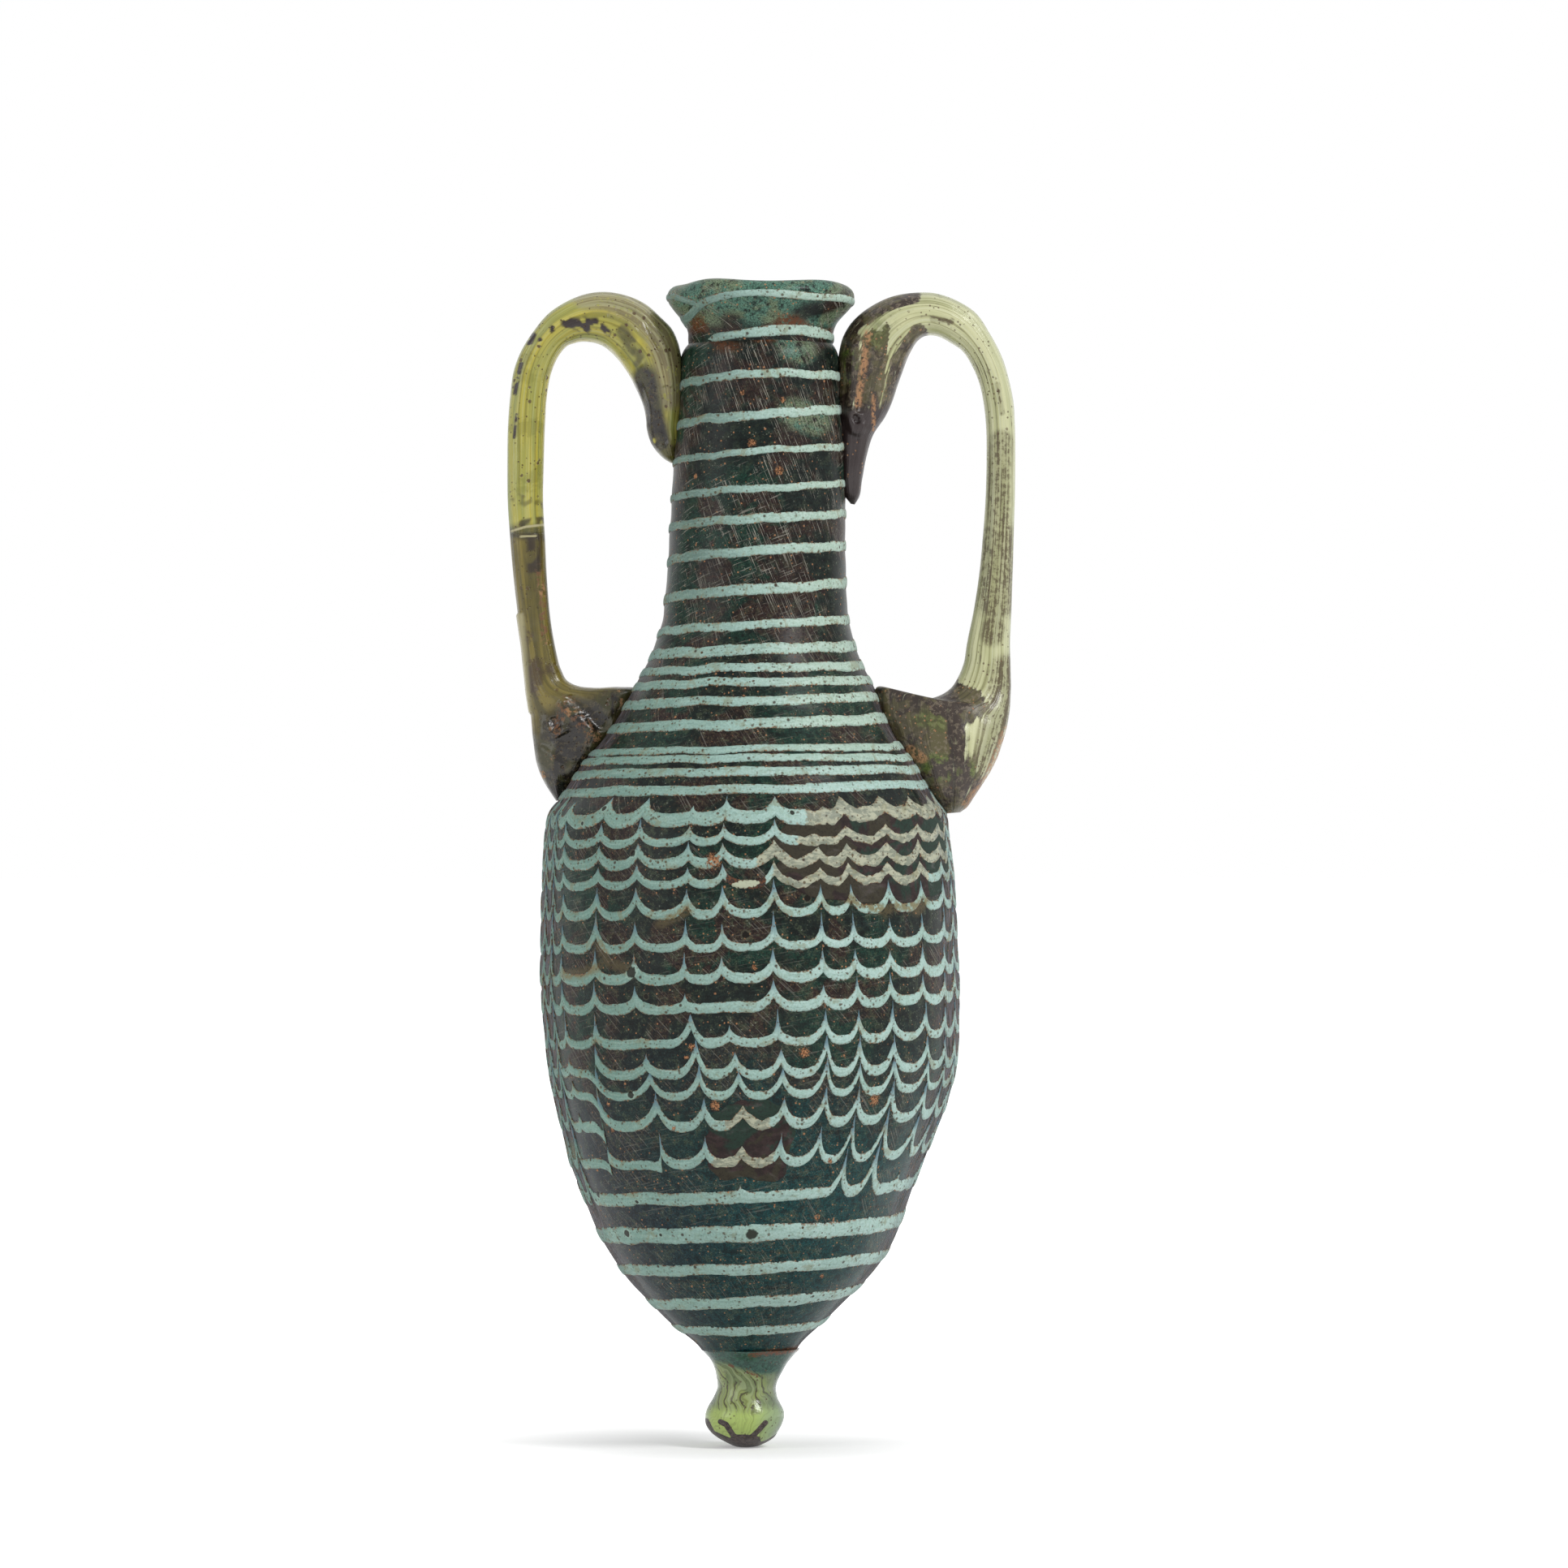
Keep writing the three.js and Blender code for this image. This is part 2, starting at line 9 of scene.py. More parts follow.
import bpy
import numpy as np
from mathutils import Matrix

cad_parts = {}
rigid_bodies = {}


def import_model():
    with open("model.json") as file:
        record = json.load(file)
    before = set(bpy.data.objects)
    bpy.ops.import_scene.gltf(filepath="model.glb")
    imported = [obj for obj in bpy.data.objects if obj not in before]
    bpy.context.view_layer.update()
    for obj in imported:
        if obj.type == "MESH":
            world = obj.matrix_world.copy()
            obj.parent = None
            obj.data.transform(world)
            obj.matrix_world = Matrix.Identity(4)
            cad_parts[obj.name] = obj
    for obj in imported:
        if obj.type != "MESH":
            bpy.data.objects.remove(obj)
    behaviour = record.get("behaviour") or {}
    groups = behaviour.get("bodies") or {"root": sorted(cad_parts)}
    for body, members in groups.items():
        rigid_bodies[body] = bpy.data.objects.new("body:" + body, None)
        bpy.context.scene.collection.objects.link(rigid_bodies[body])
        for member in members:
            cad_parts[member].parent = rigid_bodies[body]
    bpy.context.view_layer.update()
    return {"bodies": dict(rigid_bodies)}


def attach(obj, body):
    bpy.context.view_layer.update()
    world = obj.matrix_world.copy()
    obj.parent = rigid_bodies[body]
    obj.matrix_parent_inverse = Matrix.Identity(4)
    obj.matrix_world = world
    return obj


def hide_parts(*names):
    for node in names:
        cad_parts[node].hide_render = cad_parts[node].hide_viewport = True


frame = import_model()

BODY = list(frame["bodies"])[0]
TURN = 2 * np.pi

# The photograph as a measuring sheet: its scale in the plane of the handles, the column of the
# knob's foot and the row of the floor. Edges below that were read off it are in its pixels.
PIXELS_PER_MM = 9.587
FOOT_COLUMN = 917
FLOOR_ROW = 1783
# The camera's place in mm: across from the foot, in front of the axis and above the floor.
CAMERA_ACROSS = 5.1
CAMERA_AWAY = 1007.6
CAMERA_LEVEL = 85.2


# Numbers along curves


def through(stations, values, at):
    """Smooth curve through values at stations: between two of them it is the Hermite cubic whose
    slopes are those of the neighbouring chords, and past the ends it stays level."""
    stations = np.asarray(stations, float)
    values = np.asarray(values, float)
    slopes = np.gradient(values, stations, axis=0)
    at = np.clip(np.asarray(at, float), stations[0], stations[-1])
    left = np.clip(np.searchsorted(stations, at, side="right") - 1, 0, len(stations) - 2)
    gap = stations[left + 1] - stations[left]
    share = (at - stations[left]) / gap
    if values.ndim == 2:
        gap = gap[..., None]
        share = share[..., None]
    start = (1 + 2 * share) * (1 - share) ** 2 * values[left]
    start_slope = share * (1 - share) ** 2 * gap * slopes[left]
    end = share ** 2 * (3 - 2 * share) * values[left + 1]
    end_slope = share ** 2 * (share - 1) * gap * slopes[left + 1]
    return start + start_slope + end + end_slope


def ease(value, low, high):
    """0 below low, 1 above high, and 3 t^2 - 2 t^3 of the share t between them."""
    share = np.clip((value - low) / (high - low), 0, 1)
    return share * share * (3 - 2 * share)


def ripple(points, size, seed, count=12):
    """Slow unevenness of about -1 to 1: the sum of sine waves in seeded random directions, each
    0.7 to 1.6 times size long, over the square root of their count."""
    draw = np.random.default_rng(seed)
    heading = draw.normal(size=(count, 3))
    heading /= np.linalg.norm(heading, axis=1)[:, None]
    pace = TURN / (size * draw.uniform(0.7, 1.6, count))
    phase = draw.uniform(0, TURN, count)
    return np.sin(points @ (heading * pace[:, None]).T + phase).sum(-1) / np.sqrt(count)


def from_photo(column, row):
    """Millimetres across and up, in the plane of the handles, of a pixel of the photograph."""
    return (column - FOOT_COLUMN) / PIXELS_PER_MM, (FLOOR_ROW - row) / PIXELS_PER_MM


def near_stroke(across, up, stroke, width):
    """1 on a stroke through the given points of the front, 0 past half its width, eased between:
    the distance is the least of those to its straight pieces."""
    ends = np.array([from_photo(column, row) for column, row in stroke])
    nearest = np.full(across.shape, 1e9)
    for start, end in zip(ends[:-1], ends[1:]):
        run = end - start
        share = ((across - start[0]) * run[0] + (up - start[1]) * run[1]) / (run @ run)
        share = np.clip(share, 0, 1)
        off = np.hypot(across - start[0] - share * run[0], up - start[1] - share * run[1])
        nearest = np.minimum(nearest, off)
    return 1 - ease(nearest, 0.3 * width, 0.65 * width)


def strokes(points, *each):
    """The most of near_stroke over several strokes of the front, at a grid of points. Each is a
    path, a width in mm and, where it isn't 1, a strength."""
    amounts = [near_stroke(points[..., 0], points[..., 2], path, width) * np.prod(strength)
               for path, width, *strength in each]
    return np.max(amounts, axis=0)


def stained(points, paths, width):
    """The strokes along several paths of one width, on the front half of a grid of points."""
    return strokes(points, *[(path, width) for path in paths]) * (points[..., 1] < 0)


def press(points, *folds):
    """Move the front half of a grid of points towards the camera by the sum of its folds. Each is
    a height in mm, below 0 for a groove, then a path and a width."""
    lift = sum(height * near_stroke(points[..., 0], points[..., 2], path, width)
               for height, path, width in folds)
    points[..., 1] -= lift * (points[..., 1] < 0)


# Olive-beige smears of old repair over the belly, as paths over the photograph, and the scraped
# fields of the neck, where its scratches are densest. Their widths are in mm.
MENDS = [[(818, 1134), (834, 1126), (852, 1116)], [(700, 1198), (724, 1194), (742, 1186)],
         [(742, 1160), (752, 1180), (776, 1190)], [(1040, 1103), (1062, 1110), (1090, 1120)],
         [(1098, 1112), (1130, 1116)], [(1128, 1120), (1137, 1108)]]
MEND_WIDTH = 1.3
SCRAPED = [[(914, 446), (950, 434)], [(874, 470), (898, 450)], [(905, 592), (936, 618)],
           [(945, 582), (1040, 612)], [(990, 508), (1040, 530)], [(900, 652), (960, 668)]]
SCRAPED_WIDTH = 4.0


# Meshes


def skin(name, points, finish, nodes, wrap=(False, True), caps=False, across=None,
         along=None, marks=None):
    """A closed mesh of four-sided faces over a grid of points, in millimetres.

    Rows or columns that wrap join their last line to their first. Caps close the first and last
    row with a fan to their mean point. The faces are turned outwards by the sign of the volume
    they enclose. across and along give the UV map, marks give attributes of the points.
    """
    rows, columns = points.shape[:2]
    spots = points.reshape(-1, 3)
    lines = np.arange(rows if wrap[0] else rows - 1)
    posts = np.arange(columns if wrap[1] else columns - 1)
    line, post = [part.ravel() for part in np.meshgrid(lines, posts, indexing="ij")]
    corner_line = np.stack([line, line, line + 1, line + 1], axis=1)
    corner_post = np.stack([post, post + 1, post + 1, post], axis=1)
    corners = (corner_line % rows) * columns + corner_post % columns
    along = np.arange(rows + 1.0) if along is None else np.append(along, along[-1])
    across = np.linspace(0, 1, columns + 1) if across is None else across
    chart = np.stack([along[corner_line], across[corner_post]], axis=2)
    loops, chart, sides = corners.ravel(), chart.reshape(-1, 2), [4] * len(corners)
    if caps:
        first, last = len(spots), len(spots) + 1
        spots = np.vstack([spots, points[0].mean(0), points[-1].mean(0)])
        post, after = np.arange(columns), (np.arange(columns) + 1) % columns
        low = np.stack([after, post, np.full(columns, first)], axis=1)
        base = (rows - 1) * columns
        high = np.stack([base + post, base + after, np.full(columns, last)], axis=1)
        fans = np.concatenate([low, high])
        fan_along = np.repeat([along[0], along[rows - 1]], columns * 3)
        fan_across = np.tile(np.repeat(across[:columns], 3), 2)
        chart = np.vstack([chart, np.stack([fan_along, fan_across], axis=1)])
        loops = np.concatenate([loops, fans.ravel()])
        sides += [3] * len(fans)
    sides = np.array(sides)
    starts = np.concatenate([[0], np.cumsum(sides)[:-1]])
    a, b, c = (spots[loops[starts + step]] for step in (0, 1, 2))
    d = spots[loops[starts + sides - 1]]
    volume = (np.einsum("ij,ij", a, np.cross(b, c)) + np.einsum("ij,ij", a, np.cross(c, d)))
    if volume < 0:
        order = np.arange(len(loops))
        place = order - np.repeat(starts, sides)
        order = np.repeat(starts + sides - 1, sides) - place
        loops, chart = loops[order], chart[order]
    mesh = bpy.data.meshes.new(name)
    mesh.vertices.add(len(spots))
    mesh.vertices.foreach_set("co", (spots * 0.001).astype(np.float32).ravel())
    mesh.loops.add(len(loops))
    mesh.loops.foreach_set("vertex_index", loops.astype(np.int32))
    mesh.polygons.add(len(sides))
    mesh.polygons.foreach_set("loop_start", starts.astype(np.int32))
    mesh.polygons.foreach_set("use_smooth", np.ones(len(sides), bool))
    mesh.update(calc_edges=True)
    mesh.uv_layers.new(name="lay").data.foreach_set("uv", chart.astype(np.float32).ravel())
    for mark, amount in (marks or {}).items():
        amount = amount.reshape(-1)
        if caps:
            amount = np.concatenate([amount, [amount[:columns].mean(), amount[-columns:].mean()]])
        layer = mesh.attributes.new(mark, "FLOAT", "POINT")
        layer.data.foreach_set("value", amount.astype(np.float32))
    mesh.validate()
    mesh.materials.append(finish)
    piece = bpy.data.objects.new(name, mesh)
    bpy.context.scene.collection.objects.link(piece)
    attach(piece, BODY)
    if nodes:
        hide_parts(*nodes)
    return piece


# The flask as a surface: height up it, angle round it


# How far the flask's axis leans towards +X for each mm of height, and how far it sways from that
# line. Then its outside and its bore, as radii in mm at heights in mm.
LEAN = 0.0147
SWAY_LEVELS = [0, 9, 12, 16, 25, 34, 41, 50, 61, 71, 79, 90, 105, 150]
SWAY = [0, 0.4, 0.55, 0.1, 0.05, -0.28, 0, 0.17, -0.1, -0.45, -0.8, -0.4, -0.1, 0]

WALL_LEVELS = [12.5, 13, 16, 19, 22, 25, 28, 31, 34, 37, 40, 43, 46, 49, 52, 55, 58, 61, 64, 67,
               70, 73, 76, 79, 81.7, 83.2, 85.3, 87.9, 91.1, 94.2, 96.3, 98.4, 100.4, 102.5,
               104.6, 106.7, 108.8, 113, 121.3, 127.6, 133.8, 139, 140.3, 141.2, 142.0, 142.8]
WALL_RADII = [6.1, 6.45, 9.8, 12.85, 15.6, 17.75, 19.4, 20.55, 21.75, 22.85, 23.75, 24.7, 25.5,
              26.1, 26.4, 26.6, 26.8, 26.85, 26.7, 26.6, 26.5, 26.35, 26.15, 25.8, 25.3, 24.2,
              22.95, 21.5, 19.1, 17.2, 16.2, 15.1, 14.0, 13.15, 12.5, 11.95, 11.75, 11.5, 11.2,
              11.0, 10.5, 10.3, 10.1, 9.7, 9.1, 8.8]
BORE_LEVELS = [19, 19.7, 22, 26, 34, 46, 61, 80, 90, 98, 106, 112, 142.2]
BORE_RADII = [0, 4.2, 9.5, 13.5, 18.2, 22, 23.4, 22.2, 16.6, 11.6, 8.2, 6.9, 6.5]

# Burst bubbles in the threads of the front, their column and row in the photograph and their
# radius in mm, and then pits that are filled with tan earth.
BUBBLES = [(779, 1198, 0.74), (779, 1349, 0.48), (927, 1520, 0.72), (774, 1519, 0.5),
           (759, 1316, 0.3), (815, 1521, 0.25), (738, 1471, 0.45), (745, 997, 0.4),
           (781, 1052, 0.45), (719, 1015, 0.3), (977, 1002, 0.32), (786, 1480, 0.28),
           (823, 1503, 0.2), (797, 1228, 0.35), (920, 1152, 0.5), (996, 1107, 0.45)]
EARTHY_PITS = [(880, 1061, 1.1), (853, 1291, 0.5), (883, 1362, 0.75), (855, 1290, 0.45),
               (992, 1297, 0.7), (847, 1303, 0.35), (1078, 1355, 0.9), (1008, 1500, 0.5),
               (832, 1390, 0.4), (1023, 1430, 0.45), (1014, 1572, 0.4), (927, 546, 0.6),
               (960, 580, 0.6), (965, 493, 0.4), (915, 484, 0.35), (883, 397, 0.6),
               (840, 403, 0.5), (900, 404, 0.35), (857, 587, 0.4), (931, 1192, 0.4),
               (748, 1344, 0.3), (751, 1360, 0.35), (752, 1376, 0.3), (756, 1392, 0.35)]
# A lens-shaped chip of the thread that is left in a gap of row 14, as a row of round spots.
PALE_CHIP = [(905, 1090.5, 0.28), (909, 1090.5, 0.42), (914, 1090, 0.54), (920, 1089.5, 0.62),
             (926, 1089, 0.56), (931, 1088.5, 0.44), (935, 1088, 0.3)]


def axis_across(height):
    """How far the middle of the flask stands towards +X: its lean times the height, plus sway."""
    return LEAN * height + through(SWAY_LEVELS, SWAY, height)


def front_angle(column, height):
    """The angle whose sine is the distance from the axis to a column of the photograph, over the
    wall's radius at that height."""
    away = (column - FOOT_COLUMN) / PIXELS_PER_MM - axis_across(height)
    return np.arcsin(np.clip(away / through(WALL_LEVELS, WALL_RADII, height), -1, 1))


def wall_radius(angle, height):
    """The turned profile plus two ripples."""
    radius = through(WALL_LEVELS, WALL_RADII, height)
    spots = np.stack([radius * np.sin(angle), radius * np.cos(angle), height], axis=-1)
    return radius + 0.1 * ripple(spots, 17, 3) + 0.035 * ripple(spots, 5, 4)


def on_front(column, row):
    """The point of the wall's front that shows at a pixel of the photograph: its height is
    drawn towards the camera's level by the share that it stands nearer to it."""
    level = from_photo(column, row)[1]
    radius = through(WALL_LEVELS, WALL_RADII, level)
    near = radius * np.cos(front_angle(column, level)) / CAMERA_AWAY
    level = CAMERA_LEVEL + (level - CAMERA_LEVEL) * (1 - near)
    angle = front_angle(FOOT_COLUMN + (column - FOOT_COLUMN) * (1 - near), level)
    return on_wall(angle, level, 0.0)


def round_axis(angle, radius, height, level=None):
    """Points at a radius and height, about the leaning axis at that height or at level."""
    middle = axis_across(height if level is None else level)
    return np.stack([middle + radius * np.sin(angle), -radius * np.cos(angle), height], axis=-1)


def on_wall(angle, height, lift):
    """Points over the wall: its radius and height, moved by lift along the profile's normal."""
    slope = (through(WALL_LEVELS, WALL_RADII, height + 0.2)
             - through(WALL_LEVELS, WALL_RADII, height - 0.2)) / 0.4
    length = np.hypot(1, slope)
    radius = wall_radius(angle, height) + lift / length
    return round_axis(angle, radius, height - lift * slope / length, height)


# Finishes


def tint(red, green, blue):
    """The linear colour of a screen colour: each part over 255, to the power 2.2."""
    return tuple((part / 255) ** 2.2 for part in (red, green, blue)) + (1.0,)


class Wire:
    """One output socket in a finish. Sums and products of wires and numbers add Math nodes."""

    def __init__(self, finish, socket):
        self.finish, self.socket = finish, socket

    def reckon(self, operation, first, second):
        return self.finish.add("ShaderNodeMath", {"operation": operation}, {0: first, 1: second})

    def __add__(self, other):
        return self.reckon("ADD", self, other)

    def __radd__(self, other):
        return self.reckon("ADD", other, self)

    def __sub__(self, other):
        return self.reckon("SUBTRACT", self, other)

    def __rsub__(self, other):
        return self.reckon("SUBTRACT", other, self)

    def __mul__(self, other):
        return self.reckon("MULTIPLY", self, other)

    def __rmul__(self, other):
        return self.reckon("MULTIPLY", other, self)

    def __truediv__(self, other):
        return self.reckon("DIVIDE", self, other)

    def __pow__(self, other):
        return self.reckon("POWER", self, other)


class Finish:
    """A material in the making. Lengths in its patterns are millimetres."""

    def __init__(self, name):
        self.material = bpy.data.materials.new(name)
        self.material.use_nodes = True
        self.tree = self.material.node_tree
        self.tree.nodes.clear()
        here = self.add("ShaderNodeTexCoord", out="Object")
        self.place = self.add("ShaderNodeMapping", None,
                              {"Vector": here, "Scale": (1000, 1000, 1000)})
        self.lay = self.add("ShaderNodeTexCoord", out="UV")

    def add(self, kind, settings=None, sockets=None, out=0):
        """A node of a kind: its settings first, then values or wires for its sockets."""
        node = self.tree.nodes.new(kind)
        for setting, value in (settings or {}).items():
            setattr(node, setting, value)
        for name, value in (sockets or {}).items():
            if isinstance(value, Wire):
                self.tree.links.new(value.socket, node.inputs[name])
            else:
                node.inputs[name].default_value = value
        return Wire(self, node.outputs[out])

    def part(self, axis):
        """The place's distance along X, Y or Z."""
        return self.add("ShaderNodeSeparateXYZ", None, {"Vector": self.place}, out=axis)

    def mark(self, name):
        """The amount of a mark that the mesh carries at its points."""
        return self.add("ShaderNodeAttribute", {"attribute_name": name}, out="Fac")

    def stretch(self, vector, scale, turn=0.0, shift=(0, 0, 0)):
        """The vector times scale, turned about its third axis."""
        return self.add("ShaderNodeMapping", None, {
            "Vector": vector, "Scale": scale, "Rotation": (0, 0, turn), "Location": shift})

    def cloud(self, vector, scale, detail=3.0, rough=0.55, bend=0.0):
        """Noise about 0.5, mostly within 0.15 of it."""
        return self.add("ShaderNodeTexNoise", None, {
            "Vector": vector, "Scale": scale, "Detail": detail, "Roughness": rough,
            "Distortion": bend})

    def step(self, value, low, high):
        """0 below low, 1 above high, eased between; the other way round where low is more."""
        return self.add("ShaderNodeMapRange", {"interpolation_type": "SMOOTHSTEP"}, {
            "Value": value, "From Min": low, "From Max": high})

    def blend(self, share, first, second, way="MIX"):
        """first turned towards second by share, as colours."""
        return self.add("ShaderNodeMix", {"data_type": "RGBA", "blend_type": way},
                        {0: share, 6: first, 7: second}, out=2)

    def coat(self, share, colour, way="MIX"):
        """The finish's colour so far, turned towards another by share."""
        self.colour = self.blend(share, self.colour, colour, way)

    def flecks(self, vector, scale, size, share, seed=0.0):
        """Round flecks: 1 near the middle of those Voronoi cells whose own random number is
        below share, 0 outside their size."""
        moved = self.stretch(vector, (1, 1, 1), 0.0, (seed, 2 * seed, 3 * seed))
        cells = {"Vector": moved, "Scale": scale}
        near = self.add("ShaderNodeTexVoronoi", None, cells, out="Distance")
        shade = self.add("ShaderNodeTexVoronoi", None, cells, out="Color")
        pick = self.add("ShaderNodeSeparateColor", None, {"Color": shade}, out=0)
        return self.step(near, size, 0.5 * size) * self.step(pick, share, 0.8 * share)

    def spots(self, places, size, ragged):
        """1 inside the round spots at places of the front, each a column, a row and a radius in
        mm, and 0 outside: the least of distance over radius, stirred by a ragged noise."""
        least = None
        for column, row, radius in places:
            spot = tuple(float(part) for part in on_front(column, row))
            away = self.add("ShaderNodeVectorMath", {"operation": "DISTANCE"},
                            {0: self.place, 1: spot}, out="Value") / radius
            least = away if least is None else least.reckon("MINIMUM", least, away)
        return self.step(least + ragged, size, 0.75 * size)

    def finish(self, rough, height, depth, constants):
        """The Principled surface of the colour so far, with a bump of that height, times depth in
        mm, under its normal."""
        bump = self.add("ShaderNodeBump", None, {
            "Strength": 1.0, "Distance": depth * 0.001, "Height": height})
        sockets = {"Base Color": self.colour, "Roughness": rough, "Normal": bump}
        return self.close(self.add("ShaderNodeBsdfPrincipled", None, sockets | constants))

    def close(self, shell):
        """The material, with a surface on its output."""
        output = self.tree.nodes.new("ShaderNodeOutputMaterial")
        self.tree.links.new(shell.socket, output.inputs["Surface"])
        return self.material


def dark_glass(name):
    """The dark glass of the wall and the rim: navy to teal low down, green-black with teal and
    plum-brown patches above, wound in level streaks and mottled, with scratches, pits, tan specks
    and burst bubbles. Its teal stains take in a painted highlight, and its sides as seen from the
    front carry a painted lilac-grey sheen, cracked upwards and streaked brown."""
    f = Finish(name)
    broad = f.cloud(f.place, 0.055, 3, 0.55, 0.6)
    patchy = f.cloud(f.stretch(f.place, (1, 1, 1), 0, (31, 7, 12)), 0.16, 4, 0.6, 0.5)
    wound = f.cloud(f.stretch(f.place, (0.12, 0.12, 1.6)), 0.7, 4, 0.65)
    mottle = f.cloud(f.place, 0.9, 5, 0.72)
    fine = f.cloud(f.place, 2.6, 4, 0.7)
    grain = f.cloud(f.place, 5.5, 3, 0.75)
    height = f.part("Z")
    right = f.step(f.part("X") + 12 * (patchy - 0.5), -17, 3)
    low = f.step(height + 24 * (broad - 0.5), 56, 34)
    neck = f.step(height, 98, 112)
    f.colour = f.blend(f.step(broad, 0.47, 0.58), tint(25, 34, 31), tint(27, 54, 45))
    f.coat(f.step(patchy, 0.5, 0.57), tint(46, 33, 31))
    f.coat(low, f.blend(right, tint(34, 45, 52), tint(22, 64, 65)))
    f.coat(0.25 * f.step(wound, 0.5, 0.7), tint(46, 66, 64))
    f.coat(0.6 * f.step(wound, 0.46, 0.3), tint(13, 18, 18))
    f.coat((0.42 - 0.2 * neck) * f.step(mottle, 0.51, 0.6), tint(76, 84, 66))
    f.coat(0.6 * f.step(mottle, 0.49, 0.4), tint(10, 15, 14))
    # The funnel mark: teal stains, one of them a painted highlight at the top of the neck.
    funnel = f.mark("funnel") * f.step(mottle, 0.34, 0.5)
    f.coat(0.85 * funnel,
           f.blend(f.step(patchy, 0.46, 0.56), tint(100, 142, 124), tint(128, 148, 118)))
    haze = f.step(patchy, 0.46, 0.56) * f.step(fine, 0.5, 0.6)
    f.coat((0.36 - 0.2 * neck) * haze, tint(98, 88, 68))
    glints = f.flecks(f.place, 2.9, 0.34, 0.3, 12.0) * f.step(mottle, 0.47, 0.55)
    f.coat(0.55 * glints, tint(128, 132, 120))
    f.coat(0.55, f.step(grain, 0.4, 0.62), "OVERLAY")
    # Painted lilac-grey sheen on the sides seen from the front (worn), with brown streaks and dark
    # cracks in it.
    side = f.step(f.mark("side_sheen_and_wear") + 0.6 * (patchy - 0.5), 0.25, 0.9)
    cracks = f.cloud(f.stretch(f.lay, (0.3, 3.2, 1)), 1.0, 3, 0.7, 0.4)
    worn = side * f.step(cracks, 0.45, 0.54) * (1 - f.mark("funnel"))
    f.coat(0.8 * worn, tint(112, 110, 118))
    streaks = f.cloud(f.stretch(f.lay, (0.4, 4.5, 1), 0, (7, 3, 0)), 1.0, 3, 0.7, 0.3)
    f.coat(0.7 * side * f.step(streaks, 0.54, 0.6), tint(112, 80, 60))
    f.coat(0.8 * side * f.step(cracks, 0.45, 0.38), tint(34, 28, 26))
    brown = f.mark("brown")
    f.coat(brown * f.step(fine, 0.3, 0.55), tint(96, 60, 38))
    f.coat(f.mark("mend") * f.step(fine, 0.3, 0.5), tint(84, 76, 56))
    falling = f.stretch(f.lay, (1, 1, 1), 0.75)
    lines = f.cloud(f.stretch(falling, (0.16, 5.0, 1)), 1.0, 2, 0.6)
    level = f.stretch(f.lay, (1, 1, 1), 1.75)
    cross = f.cloud(f.stretch(level, (0.16, 4.2, 1)), 1.0, 2, 0.6)
    scraped = f.mark("scraped") * f.step(fine, 0.36, 0.5)
    scratch = f.step(lines + 0.03 * scraped, 0.6, 0.645)
    scratch = scratch * f.step(patchy + 0.1 * scraped, 0.45, 0.55)
    scratch = scratch + 0.6 * f.step(cross, 0.6, 0.66) * f.step(broad, 0.46, 0.56)
    scratch = scratch * (0.35 + 0.65 * neck)
    f.coat(0.75 * scratch, tint(172, 168, 156))
    specks = f.flecks(f.place, 0.8, 0.17, 0.22) + f.flecks(f.place, 1.9, 0.28, 0.34, 3.0)
    specks = specks * f.step(mottle + 0.4 * (fine - 0.5), 0.45, 0.54)
    f.coat(0.85 * specks, tint(184, 132, 96))
    pits = f.flecks(f.place, 2.4, 0.3, 0.25, 5.0)
    f.coat(0.7 * pits, tint(14, 18, 18))
    stir = 1.1 * (fine - 0.5)
    hole = f.spots(BUBBLES, 1.0, stir)
    f.coat(0.35 * f.spots(BUBBLES, 1.5, stir), tint(104, 102, 84))
    f.coat(hole, tint(26, 22, 17))
    f.coat(f.spots(PALE_CHIP, 1.0, stir), tint(188, 194, 168))
    earth = f.spots(EARTHY_PITS, 0.95, 3.5 * stir)
    crumbs = f.blend(f.step(grain, 0.42, 0.56), tint(72, 44, 28), tint(192, 138, 98))
    f.coat(earth * f.step(fine, 0.36, 0.48), crumbs)
    rough = 0.2 + 0.25 * mottle + 0.3 * side + 0.35 * specks + 0.15 * scratch
    relief = fine * 0.3 + wound * 0.4 - pits * 0.9 - scratch * 0.5 + 0.3 * specks
    relief = relief + 0.35 * mottle - 2.0 * hole - 1.2 * earth + 1.0 * worn
    return f.finish(rough, relief, 0.05, {"IOR": 1.5, "Specular IOR Level": 0.16})


